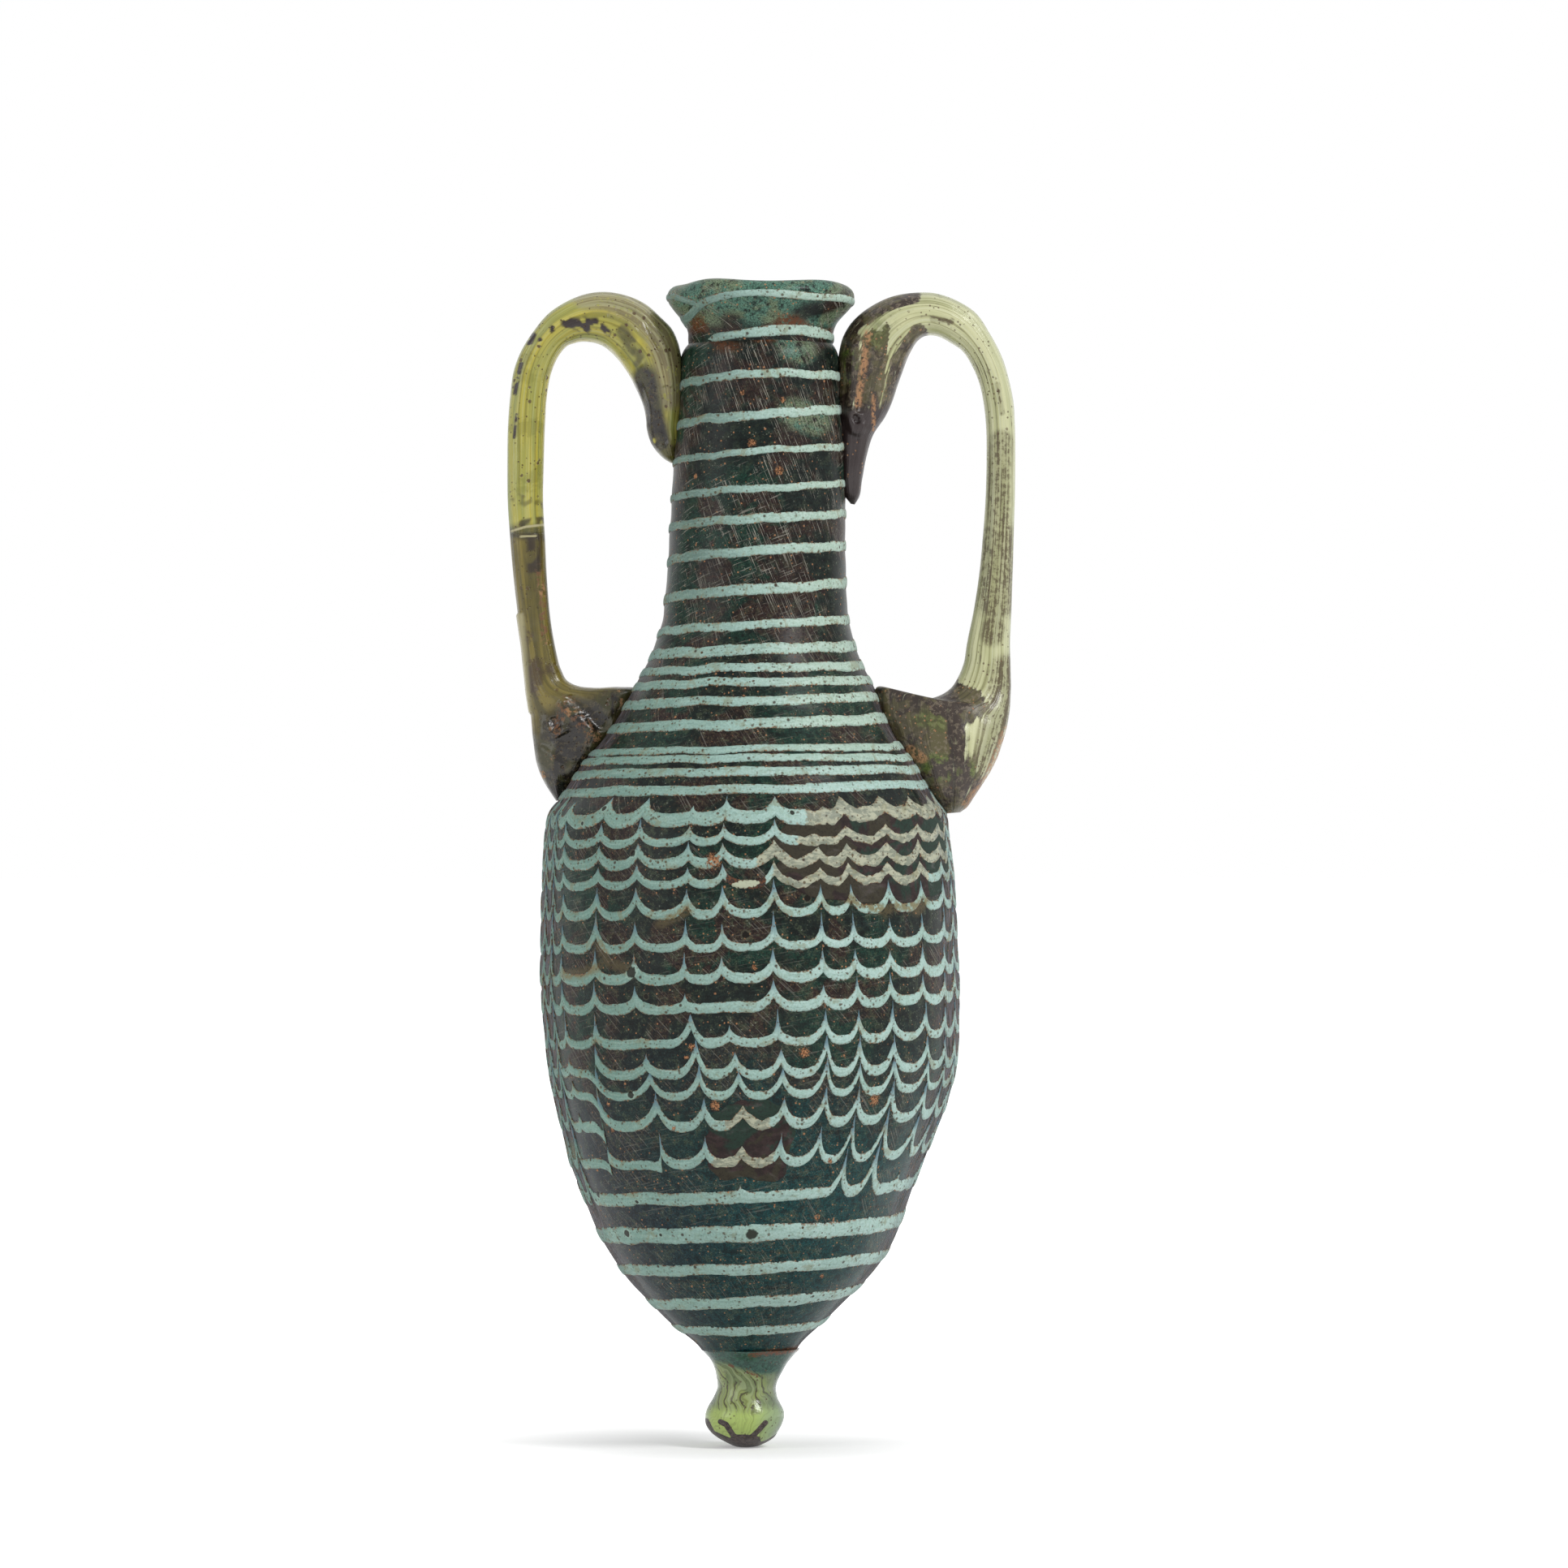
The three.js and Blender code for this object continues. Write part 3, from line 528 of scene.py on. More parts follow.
def thread_glass(name):
    """The turquoise thread: opaque, with brown pits and stains, ragged rusty edges, burst bubbles
    ringed with pale glass, bluish drawn-out tips and sage repaint on the fills. Painted shade makes
    it greener and greyer to the left and darker on the neck's left, painted light makes it paler to
    the right, and a painted pale-grey sheen, cracked dark, lies on its sides as seen from the
    front."""
    f = Finish(name)
    broad = f.cloud(f.place, 0.09, 3, 0.5, 0.3)
    fine = f.cloud(f.place, 1.7, 4, 0.65)
    grain = f.cloud(f.place, 4.0, 3, 0.7)
    streak = f.cloud(f.stretch(f.lay, (0.35, 5.0, 1)), 1.0, 3, 0.6)
    across = f.part("X")
    height = f.part("Z")
    # Painted shade and light across the flask: darker, greener and greyer to the left, paler to the
    # right.
    right = f.step(across + 14 * (broad - 0.5), -22, 12)
    f.colour = f.blend(right, tint(118, 154, 142), tint(178, 208, 200))
    f.coat(0.5 * f.step(broad, 0.5, 0.7), tint(142, 178, 164))
    pale = f.step(height, 84, 92) * f.step(across, -2, 12)
    f.coat(0.6 * pale, tint(190, 210, 190))
    # Painted shade on the left of the neck.
    shade = f.step(height, 102, 114) * f.step(across, 2, -7)
    f.coat(0.7 * shade, tint(88, 112, 104))
    f.coat(0.3 * f.step(streak, 0.48, 0.62), tint(172, 200, 188))
    f.coat(0.35 * f.step(streak, 0.48, 0.36), tint(112, 142, 130))
    f.coat(0.3 * f.step(fine, 0.52, 0.6), tint(140, 164, 140))
    f.coat(0.14, f.step(grain, 0.36, 0.64), "OVERLAY")
    paint = f.mark("repaint")
    paint = f.step(paint + 1.2 * (fine - 0.5), 0.4, 0.6)
    smear = f.cloud(f.stretch(f.place, (0.5, 0.5, 1.2), 0.4), 1.6, 4, 0.7, 0.6)
    smear = f.blend(f.step(smear, 0.42, 0.58), tint(138, 144, 128), tint(186, 188, 164))
    f.coat(paint, smear)
    f.coat(0.85 * f.mark("tip") * (1 - paint), tint(92, 122, 140))
    # Painted pale-grey sheen on the sides seen from the front, with dark cracks in it.
    side = f.step(f.mark("side_sheen_and_wear") + 0.6 * (broad - 0.5), 0.3, 0.95)
    cracks = f.cloud(f.stretch(f.place, (2.4, 2.4, 0.22)), 1.0, 3, 0.7, 0.4)
    f.coat(0.6 * side * f.step(cracks, 0.44, 0.6), tint(126, 134, 138))
    f.coat(0.7 * side * f.step(cracks, 0.42, 0.34), tint(70, 56, 48))
    stain = f.cloud(f.stretch(f.place, (1, 1, 1), 0, (9, 4, 2)), 0.5, 5, 0.65, 0.6)
    f.coat(0.45 * f.step(stain, 0.55, 0.64), tint(132, 128, 92))
    f.coat(f.mark("mend") * f.step(fine, 0.34, 0.5), tint(128, 124, 94))
    ragged = f.mark("edge") + 1.3 * (fine - 0.5) + 0.6 * (grain - 0.5)
    rusty = f.step(ragged, 0.74, 0.92)
    f.coat(0.8 * rusty * f.step(stain, 0.42, 0.52), tint(126, 90, 60))
    f.coat(f.step(ragged, 0.94, 1.02), tint(36, 30, 26))
    crust = f.blend(f.step(grain, 0.44, 0.58), tint(40, 32, 28), tint(96, 62, 42))
    f.coat(f.step(f.mark("lost") + 0.9 * (fine - 0.5), 0.4, 0.6), crust)
    crumbs = f.flecks(f.place, 2.2, 0.34, 0.6, 6.0) * f.step(f.mark("edge"), 0.5, 0.8)
    f.coat(0.8 * crumbs * f.step(stain, 0.46, 0.54), tint(180, 132, 92))
    pits = f.flecks(f.place, 1.1, 0.27, 0.6) + 0.8 * f.flecks(f.place, 2.1, 0.34, 0.6, 4.0)
    pits = pits * f.step(stain, 0.37, 0.47)
    f.coat(0.8 * pits, tint(84, 62, 36))
    spots = f.flecks(f.place, 0.6, 0.17, 0.45, 8.0)
    f.coat(0.9 * spots, tint(56, 40, 26))
    stir = 1.1 * (fine - 0.5)
    f.coat(f.spots(PALE_CHIP, 1.0, stir), tint(188, 194, 168))
    hole = f.spots(BUBBLES, 1.1, stir)
    f.coat(0.7 * f.spots(BUBBLES, 1.5, stir), tint(170, 200, 184))
    f.coat(hole, tint(34, 40, 30))
    earth = f.spots(EARTHY_PITS, 0.95, 3.5 * stir)
    clods = f.blend(f.step(grain, 0.42, 0.56), tint(78, 48, 30), tint(180, 128, 90))
    f.coat(earth * f.step(fine, 0.36, 0.48), clods)
    rough = 0.38 + 0.2 * fine + 0.25 * side + 0.25 * pits
    relief = 0.35 * fine + 0.3 * streak - pits - 0.8 * spots - 0.5 * rusty
    relief = relief - 3.0 * hole - 1.2 * earth + 0.7 * side * f.step(cracks, 0.36, 0.48)
    return f.finish(rough, relief, 0.05, {"IOR": 1.5, "Specular IOR Level": 0.3})


def fill_paint(name):
    """Restorer's plaster, painted plum-brown in dabs, matte with glossier rubbed spots."""
    f = Finish(name)
    dabs = f.cloud(f.stretch(f.place, (0.7, 0.7, 1.3)), 0.5, 5, 0.65, 0.8)
    fine = f.cloud(f.place, 2.8, 4, 0.7)
    green = f.cloud(f.stretch(f.place, (1, 1, 1), 0, (5, 3, 8)), 0.12, 4, 0.6, 0.5)
    f.colour = f.blend(f.step(dabs, 0.42, 0.56), tint(44, 36, 35), tint(60, 48, 47))
    f.coat(f.step(green, 0.5, 0.55), tint(40, 56, 48))
    f.coat(f.step(green, 0.47, 0.43), tint(58, 54, 44))
    f.coat(0.5 * f.step(fine, 0.5, 0.6), tint(32, 28, 26))
    f.coat(0.4 * f.step(dabs, 0.6, 0.72), tint(92, 84, 82))
    f.coat(0.8 * f.flecks(f.place, 0.9, 0.16, 0.2), tint(150, 112, 82))
    rough = 0.75 - 0.35 * f.step(dabs, 0.52, 0.68)
    return f.finish(rough, 0.6 * dabs + 0.4 * fine, 0.08, {"Specular IOR Level": 0.25})


def left_handle_glass(name):
    """Bright yellow-green glass above the break, olive-brown below it and near black-green in
    the pad, drawn out lengthwise, with dark inclusions and pits."""
    f = Finish(name)
    drawn = f.cloud(f.stretch(f.lay, (0.06, 14, 1)), 1.0, 4, 0.6, 0.25)
    strands = f.cloud(f.stretch(f.lay, (0.035, 42, 1)), 1.0, 3, 0.6, 0.2)
    fine = f.cloud(f.place, 1.6, 4, 0.7)
    blot = f.cloud(f.place, 0.22, 5, 0.62, 0.4)
    height = f.part("Z")
    f.colour = f.blend(f.step(drawn, 0.34, 0.66), tint(154, 156, 80), tint(196, 182, 74))
    f.coat(0.75 * f.mark("back"), tint(168, 184, 128))
    f.coat(0.5 * f.step(strands, 0.52, 0.62), tint(98, 96, 40))
    f.coat(0.45 * f.step(strands, 0.48, 0.38), tint(194, 194, 128))
    f.coat(0.3 * f.step(blot, 0.52, 0.6), tint(104, 104, 34))
    leaf = f.blend(f.step(strands, 0.46, 0.54), tint(120, 106, 88), tint(172, 166, 132))
    f.coat(0.75 * f.mark("leaf") * f.step(fine, 0.3, 0.46), leaf)
    below = f.step(height, 117.9, 117.0)
    olive = f.blend(f.step(drawn, 0.38, 0.64), tint(88, 80, 38), tint(132, 118, 58))
    olive = f.blend(0.8 * f.step(blot, 0.54, 0.66), olive, tint(66, 48, 34))
    f.coat(below, olive)
    dark = f.mark("dark")
    deep = f.blend(f.step(blot, 0.46, 0.56), tint(30, 25, 20), tint(64, 62, 36))
    deep = f.blend(0.5 * f.step(fine, 0.52, 0.6), deep, tint(96, 86, 64))
    f.coat(dark, deep)
    f.coat(f.mark("ink"), tint(44, 32, 30))
    flecks = f.flecks(f.place, 0.9, 0.28, 0.6) * f.step(blot, 0.45, 0.51)
    flecks = flecks + f.flecks(f.place, 2.0, 0.28, 0.5, 6.0) * f.step(fine, 0.44, 0.54)
    f.coat(0.85 * flecks * (1 - 0.4 * below), tint(80, 52, 30))
    dirt = f.mark("dirt") * f.step(fine, 0.46, 0.6)
    earth = f.blend(f.step(blot, 0.46, 0.56), tint(116, 78, 52), tint(170, 126, 88))
    f.coat(0.85 * dirt, earth)
    f.coat(f.mark("crack"), tint(186, 178, 136))
    rough = 0.12 + 0.22 * fine + 0.3 * dirt
    relief = 0.5 * drawn + 0.7 * strands + 0.3 * fine - 0.7 * flecks + 0.6 * dark * blot
    return f.finish(rough, relief, 0.1, {"IOR": 1.5, "Specular IOR Level": 0.45})


def right_handle_glass(name):
    """Pale green glass drawn out into fine strands, with brown streaks, a plum-brown root and
    drip, and a dark green and brown pad."""
    f = Finish(name)
    drawn = f.cloud(f.stretch(f.lay, (0.06, 14, 1)), 1.0, 4, 0.6, 0.25)
    strands = f.cloud(f.stretch(f.lay, (0.03, 46, 1)), 1.0, 3, 0.6, 0.15)
    fine = f.cloud(f.place, 1.6, 4, 0.7)
    blot = f.cloud(f.place, 0.25, 5, 0.62, 0.5)
    f.colour = f.blend(f.step(drawn, 0.34, 0.66), tint(186, 188, 138), tint(218, 218, 172))
    f.coat(0.6 * f.mark("back"), tint(204, 212, 186))
    f.coat(0.55 * f.step(strands, 0.52, 0.62), tint(118, 114, 70))
    f.coat(0.45 * f.step(strands, 0.48, 0.38), tint(214, 216, 184))
    sooty = f.mark("soot") * f.step(strands + 0.6 * (fine - 0.5), 0.42, 0.56)
    f.coat(0.4 * f.mark("soot"), tint(124, 120, 82))
    f.coat(0.85 * sooty, tint(80, 66, 44))
    dark = f.mark("dark")
    deep = f.blend(f.step(blot, 0.46, 0.55), tint(58, 47, 40), tint(94, 88, 60))
    deep = f.blend(0.55 * f.step(fine, 0.51, 0.58), deep, tint(134, 122, 104))
    deep = f.blend(0.5 * f.step(strands, 0.5, 0.42), deep, tint(34, 28, 24))
    dark = f.step(dark + 2.0 * (blot - 0.5) + 2.2 * (strands - 0.5), 0.35, 0.65)
    f.coat(dark, deep)
    f.coat(f.mark("ink"), tint(50, 40, 40))
    green = f.mark("green") * f.step(blot + 0.5 * (strands - 0.5), 0.46, 0.6)
    f.coat(0.9 * green, f.blend(f.step(fine, 0.44, 0.56), tint(66, 78, 36), tint(106, 122, 58)))
    flecks = f.flecks(f.place, 1.6, 0.27, 0.6, 2.0) * f.step(blot, 0.46, 0.53)
    flecks = flecks + 0.8 * f.flecks(f.place, 0.8, 0.2, 0.4, 9.0) * f.step(fine, 0.44, 0.54)
    f.coat(0.75 * flecks, f.blend(dark, tint(84, 58, 34), tint(176, 130, 92)))
    dirt = f.mark("dirt") * f.step(fine, 0.4, 0.56)
    f.coat(0.9 * dirt, tint(184, 138, 100))
    rough = 0.15 + 0.2 * fine + 0.3 * dirt + 0.1 * dark
    relief = 0.5 * drawn + 0.9 * strands + 0.3 * fine - 0.5 * flecks + 0.7 * dark * blot
    return f.finish(rough, relief, 0.1, {"IOR": 1.5, "Specular IOR Level": 0.45})


def knob_glass(name):
    """Yellow-green glass with dark flow lines that fan out and fall from the upper left, teal
    under the wall, grey at its right side, and plum-brown marks in its worn foot. The lines are
    the crests of a sine of the bearing from a point at the upper left, which turns as the
    distance from it grows."""
    f = Finish(name)
    flow = f.cloud(f.place, 0.3, 2, 0.5, 0.2)
    fine = f.cloud(f.place, 2.2, 4, 0.7)
    height = f.part("Z")
    across = f.part("X")
    down, along = height - 11.4, across + 5.4
    bearing = down.reckon("ARCTAN2", down, along)
    far = (down * down + along * along) ** 0.5
    course = bearing + 0.13 * far + 0.8 * (flow - 0.5)
    wave = course.reckon("SINE", 27.0 * course, 0.0)
    thin = course.reckon("SINE", 61.0 * course, 0.0)
    low = f.step(height + 2.0 * (flow - 0.5), 6.0, 4.4)
    f.colour = f.blend(f.step(flow, 0.42, 0.58), tint(112, 128, 82), tint(146, 160, 92))
    f.coat(low, f.blend(f.step(across + 2 * (flow - 0.5), 1.0, 4.0),
                        tint(176, 198, 108), tint(162, 186, 134)))
    f.coat(0.5 * f.step(wave, 0.0, -0.7) * (1 - low), tint(164, 178, 130))
    lines = f.step(wave + 0.5 * (fine - 0.5), 0.72, 0.95) * (1 - 0.75 * low)
    lines = lines * f.step(flow + 0.6 * (fine - 0.5), 0.4, 0.5)
    f.coat(0.85 * lines, tint(60, 50, 32))
    f.coat(0.4 * f.step(thin, 0.5, 0.95) * (1 - 0.6 * low), tint(84, 80, 50))
    grey = f.step(across + 2.5 * (flow - 0.5), 1.5, 4.0) * (1 - 0.6 * low)
    f.coat(0.6 * grey, tint(104, 116, 100))
    teal = f.step(height + 0.25 * across + 3.0 * (flow - 0.5), 9.6, 10.9)
    f.coat(teal, f.blend(f.step(fine, 0.45, 0.58), tint(40, 74, 64), tint(58, 98, 84)))
    # Painted pale sheen on the knob's sides as seen from the front.
    f.coat(0.5 * f.mark("side_sheen_and_wear"), tint(140, 154, 148))
    ink = f.step(f.mark("ink") + 0.6 * (fine - 0.5), 0.35, 0.6)
    f.coat(ink, f.blend(f.step(fine, 0.46, 0.56), tint(48, 36, 34), tint(84, 72, 68)))
    flecks = f.flecks(f.place, 1.5, 0.24, 0.6)
    f.coat(0.8 * flecks, tint(84, 66, 36))
    rust = f.mark("dirt") * f.step(fine, 0.42, 0.55)
    f.coat(0.9 * rust, tint(112, 62, 36))
    rough = 0.1 + 0.2 * fine + 0.2 * ink
    relief = 0.4 * flow + 0.3 * fine - 0.6 * lines - 0.4 * flecks - 0.8 * ink
    return f.finish(rough, relief, 0.08, {"IOR": 1.5, "Specular IOR Level": 0.5})


wall_finish = dark_glass("scratched_dark_glass")
thread_finish = thread_glass("opaque_turquoise_glass")
fill_finish = fill_paint("painted_fill")
left_finish = left_handle_glass("yellow_green_handle_glass")
right_finish = right_handle_glass("pale_green_handle_glass")
knob_finish = knob_glass("knob_swirled_glass")


# The wall and the rim


def side_sheen_and_wear(angle):
    """How far round to the side a point is, as seen from the front: the absolute sine of its angle,
    eased from 0 at 0.82 to 1 at 1. It carries the painted sheen and the wear of the sides."""
    return ease(np.abs(np.sin(angle)), 0.82, 1.0)


# How many points a ring of the wall or the rim has, the heights of the wall's two ends in mm, and
# how far the lay map runs round the wall and the rim for each radian.
RING_POINTS = 240
WALL_FOOT = 12.5
WALL_TOP = 142.6
WALL_LAY = 25
RIM_LAY = 10


def make_wall():
    """Closed surface of rings: the point's flat end, up the outside, over the neck's end, down
    the bore and over the floor."""
    columns = RING_POINTS
    angle = np.linspace(0, TURN, columns, endpoint=False)
    rising = np.concatenate([np.linspace(WALL_FOOT, 16, 12)[:-1], np.linspace(16, WALL_TOP, 290)])
    outside = on_wall(np.broadcast_to(angle, (len(rising), columns)),
                      np.broadcast_to(rising[:, None], (len(rising), columns)), 0.0)
    falling = np.concatenate([np.linspace(WALL_TOP, 106, 14)[:-1], np.linspace(106, 22, 40)[:-1],
                              19 + 3 * np.linspace(1, 0, 9) ** 2])
    bore = through(BORE_LEVELS, BORE_RADII, falling)
    bore[-1] = 0.05
    inside = round_axis(angle[None, :], np.broadcast_to(bore[:, None], (len(bore), columns)),
                        np.broadcast_to(falling[:, None], (len(bore), columns)))
    end = np.array([0.3, 2.5, 4.8])[:, None] * np.ones(columns)
    under = round_axis(angle[None, :], end, np.full(end.shape, WALL_FOOT))
    points = np.concatenate([under, outside, inside])
    along = np.concatenate([[0, 1, 2], rising, 300 - falling])
    across = np.linspace(0, TURN * WALL_LAY, columns + 1)
    turned = np.broadcast_to(angle, points.shape[:2])
    high = points[..., 2]
    brown = 0.8 * stained(points, [[(925, 1666), (950, 1664), (984, 1661)]], 1.0)
    brown = brown + ease(high, 139.4, 141.5) * ease(ripple(points, 5, 61), 0.0, 0.8)
    # The sides' painted sheen and wear, fading out up the neck.
    worn = side_sheen_and_wear(turned) * (1 - 0.75 * ease(high, 92, 106))
    # Teal stains for the funnel mark; the short one at the top of the neck is a painted highlight.
    teal = stained(points, [[(978, 514), (1004, 522)], [(975, 428), (986, 436)],
                            [(700, 1420), (702, 1424)]], 4.0)
    marks = {"side_sheen_and_wear": worn, "brown": brown, "mend": stained(points, MENDS, MEND_WIDTH),
             "scraped": stained(points, SCRAPED, SCRAPED_WIDTH), "funnel": 0.7 * teal}
    skin("wall_glass", points, wall_finish, ["vessel_wall"], caps=True,
         across=across, along=along, marks=marks)


RIM_RADII = [6.5, 8.0, 9.1, 9.3, 9.35, 9.8, 10.5, 11.3, 11.8, 11.98, 11.8, 11.15, 10.2, 9.3,
             8.3, 7.2, 6.6, 6.5]
RIM_HEIGHTS = [141.3, 141.2, 141.2, 142.1, 143.2, 144.3, 145.2, 146.2, 147.0, 147.8, 148.6,
               149.25, 149.42, 149.0, 147.8, 145.9, 144.4, 142.5]


def rim_profile(station):
    """Radius and height of the rim at a station round its section, counted in profile points."""
    marks = np.arange(len(RIM_RADII) + 3) - 1
    radii = [RIM_RADII[-1]] + RIM_RADII + RIM_RADII[:2]
    heights = [RIM_HEIGHTS[-1]] + RIM_HEIGHTS + RIM_HEIGHTS[:2]
    return through(marks, radii, station), through(marks, heights, station)


def on_rim(angle, station, lift):
    """Points over the rim at a station of its section, moved by lift along its normal."""
    radius, height = rim_profile(station)
    ahead = rim_profile(station + 0.15)
    behind = rim_profile(station - 0.15)
    run, rise = ahead[0] - behind[0], ahead[1] - behind[1]
    length = np.hypot(run, rise)
    spots = np.stack([radius * np.sin(angle), radius * np.cos(angle), height], axis=-1)
    radius = radius + 0.12 * ease(height, 142.5, 146) * ripple(spots, 9, 21)
    height = height + 0.16 * ease(height, 144, 147.5) * ripple(spots, 10, 22)
    return round_axis(angle, radius + lift * rise / length, height - lift * run / length, height)


def make_rim():
    """The rim's section turned about the axis, joined to itself both ways."""
    station = np.linspace(0, len(RIM_RADII), 96, endpoint=False)
    angle = np.linspace(0, TURN, RING_POINTS, endpoint=False)
    angle = np.broadcast_to(angle, (len(station), RING_POINTS))
    station = np.broadcast_to(station[:, None], angle.shape)
    points = on_rim(angle, station, 0.0)
    high = points[..., 2]
    brown = ease(high, 142.6, 143.4) * ease(high, 145.6, 144.6)
    brown = brown * ease(ripple(points, 6, 31), 0.1, 0.7) * (station < 9)
    teal = 0.85 * ease(high, 143.0, 144.5) * ease(ripple(points, 5, 33), -2, -0.5)
    # The rim's sides carry half the painted sheen and wear.
    marks = {"side_sheen_and_wear": side_sheen_and_wear(angle) * 0.5, "brown": brown, "mend": 0 * high, "scraped": 0 * high,
             "funnel": teal}
    skin("rim_glass", points, wall_finish, ["rim_disk"], wrap=(True, True),
         across=np.linspace(0, TURN * RIM_LAY, RING_POINTS + 1),
         along=np.linspace(140, 165, len(station)), marks=marks)


# The threads


# Each row of thread where it passes the front: its height and width in mm, from the knob up.
ROWS = [(15.4, 1.3), (19.5, 1.6), (23.9, 1.6), (28.5, 2.2), (33.2, 1.75),
        (37.6, 1.4), (42.4, 1.5), (46.2, 1.2), (48.9, 1.4), (52.8, 1.35), (57.2, 1.5),
        (60.9, 1.5), (64.8, 1.3), (69.0, 1.35), (72.7, 1.25), (75.3, 1.55), (77.95, 1.2),
        (80.95, 2.0),
        (84.6, 1.3), (86.7, 1.3), (88.4, 1.1), (89.6, 1.0), (92.85, 1.5), (95.8, 1.35),
        (98.1, 1.25), (99.9, 1.25), (102.3, 1.5),
        (105.4, 1.3), (110.0, 1.5), (114.8, 1.4), (119.0, 1.3), (122.8, 1.05), (127.5, 1.0),
        (132.2, 1.35), (137.5, 1.25)]

# Angles in degrees of the comb's strokes over the front, at three heights in mm.
STROKE_LEVELS = [42, 58, 82]
STROKES_LOW = [-76.5, -68, -60.4, -48.8, -27.6, -12.9, -1.7, 10.0, 22.1, 32.4, 44.7, 60.4, 70,
               80]
STROKES_MIDDLE = [-77, -70.2, -63, -47.1, -33.1, -18, -7.7, 6.1, 20, 29.9, 41, 54.5, 67, 75.7]
STROKES_HIGH = [-77, -69.5, -62.8, -45.1, -31, -15.5, -6.1, 8.3, 20.5, 28.5, 43.5, 57.5, 70.8, 79]

# How far each stroke from the third lifts each row over the front, in mm. The two before
# them and the one after lift it by EDGE_LIFTS, or by 2.5 times its greatest lift if that is less.
LIFTS = {
    4: [0, 0, 0, 0, 0.3, 0, 0, 3.4, 4.4, 0.4, 0.3],
    5: [0, 0.4, 1.2, 2.0, 1.5, 2.0, 3.0, 4.5, 5.0, 4.0, 3.0],
    6: [0.4, 1.0, 3.0, 2.4, 2.0, 2.4, 3.5, 3.0, 4.0, 3.2, 2.4],
    7: [0.6, 1.0, 2.6, 2.8, 2.7, 2.8, 4.0, 3.2, 4.0, 3.2, 2.4],
    8: [0.8, 0.8, 1.4, 3.6, 2.1, 2.4, 4.2, 3.4, 3.2, 2.8, 2.2],
    9: [1.0, 1.2, 0.1, 3.2, 1.0, 1.2, 2.5, 2.5, 2.5, 2.4, 2.0],
    10: [1.4, 1.6, 1.3, 0.6, 0, 2.2, 1.2, 1.8, 2.0, 1.7, 1.5],
    11: [1.3, 1.6, 1.5, 1.0, 1.4, 2.0, 1.5, 1.7, 1.9, 1.6, 1.4],
    12: [1.6, 3.0, 1.6, 1.2, 1.4, 1.6, 1.3, 1.4, 1.5, 1.4, 1.3],
    13: [1.8, 2.2, 2.6, 2.0, 2.4, 2.9, 2.2, 2.2, 2.4, 2.2, 1.8],
    14: [1.4, 1.5, 1.8, 1.0, 1.6, 2.2, 1.6, 1.7, 1.9, 1.7, 1.5],
    15: [1.5, 1.6, 2.0, 1.3, 1.8, 2.3, 1.5, 1.6, 1.8, 1.6, 1.5],
    16: [1.4, 1.4, 1.6, 1.2, 1.3, 1.7, 0, 1.5, 1.4, 1.3, 1.3],
    17: [1.5, 1.8, 1.8, 0.4, 0.9, 1.6, 0, 1.4, 1.3, 1.1, 1.3],
}
EDGE_LIFTS = [3.4, 4.0, 2.6]
# Strokes at the lower left that dragged a row one way on their left and the other on their
# right: the row and the stroke, and how far it rises there on each side.
DRAGGED = {(6, 10): (-2.3, 2.6), (7, 10): (-2.4, 2.3), (8, 10): (-1.7, 2.3),
           (5, 10): (-1.0, 0.9), (5, 11): (-0.6, 2.0)}
# The row that swells round two bubbles, the wall's radius there in mm, and their columns in the
# photograph.
SWOLLEN_ROW = 3
SWOLLEN_RADIUS = 19.5
SWELLINGS = [927, 774]
# Stretches where the thread has gone: the row, its first and last column in the photograph.
# Then repainted stretches: the row, and its first and last angle in degrees.
LOST = [(14, 897, 944)]
REPAINTED = [(17, 15.4, 80), (16, 12.8, 80), (15, 1.2, 78), (14, 5.7, 62), (6, -8, 8),
             (5, -12, 10)]
# How many strokes go round the flask, and how many of those behind come before the front's.
STROKE_COUNT = 29
BACK_STROKES = STROKE_COUNT - len(STROKES_LOW)
LEFT_BEHIND = 7


def stroke_angles(front):
    """All the comb's strokes, from the one at the back: those measured over the front, and
    equal gaps behind, seven of them before the front ones and the rest after."""
    behind = front[-1] + (front[0] + 360 - front[-1]) * np.arange(1, BACK_STROKES + 1) / (
        BACK_STROKES + 1)
    split = BACK_STROKES - LEFT_BEHIND
    return np.radians(np.concatenate([behind[split:] - 360, front, behind[:split]]))


def lift_table():
    """Rows by strokes: the measured lifts over the front, and behind it each row's mean lift
    times a seeded factor from 0.7 to 1.3."""
    draw = np.random.default_rng(11)
    table = np.zeros((len(ROWS) + 1, STROKE_COUNT))
    for row, front in LIFTS.items():
        table[row] = np.mean(front) * draw.uniform(0.7, 1.3, STROKE_COUNT)
        edges = [min(edge, 2.5 * max(front)) for edge in EDGE_LIFTS]
        front = edges[:2] + front + edges[2:]
        table[row, LEFT_BEHIND:LEFT_BEHIND + len(front)] = front
    return table


STROKES = np.stack([stroke_angles(np.array(front))
                    for front in (STROKES_LOW, STROKES_MIDDLE, STROKES_HIGH)])
LIFT_TABLE = lift_table()
ROW_HEIGHTS = [height for height, width in ROWS]
ROW_WIDTHS = [width for height, width in ROWS]


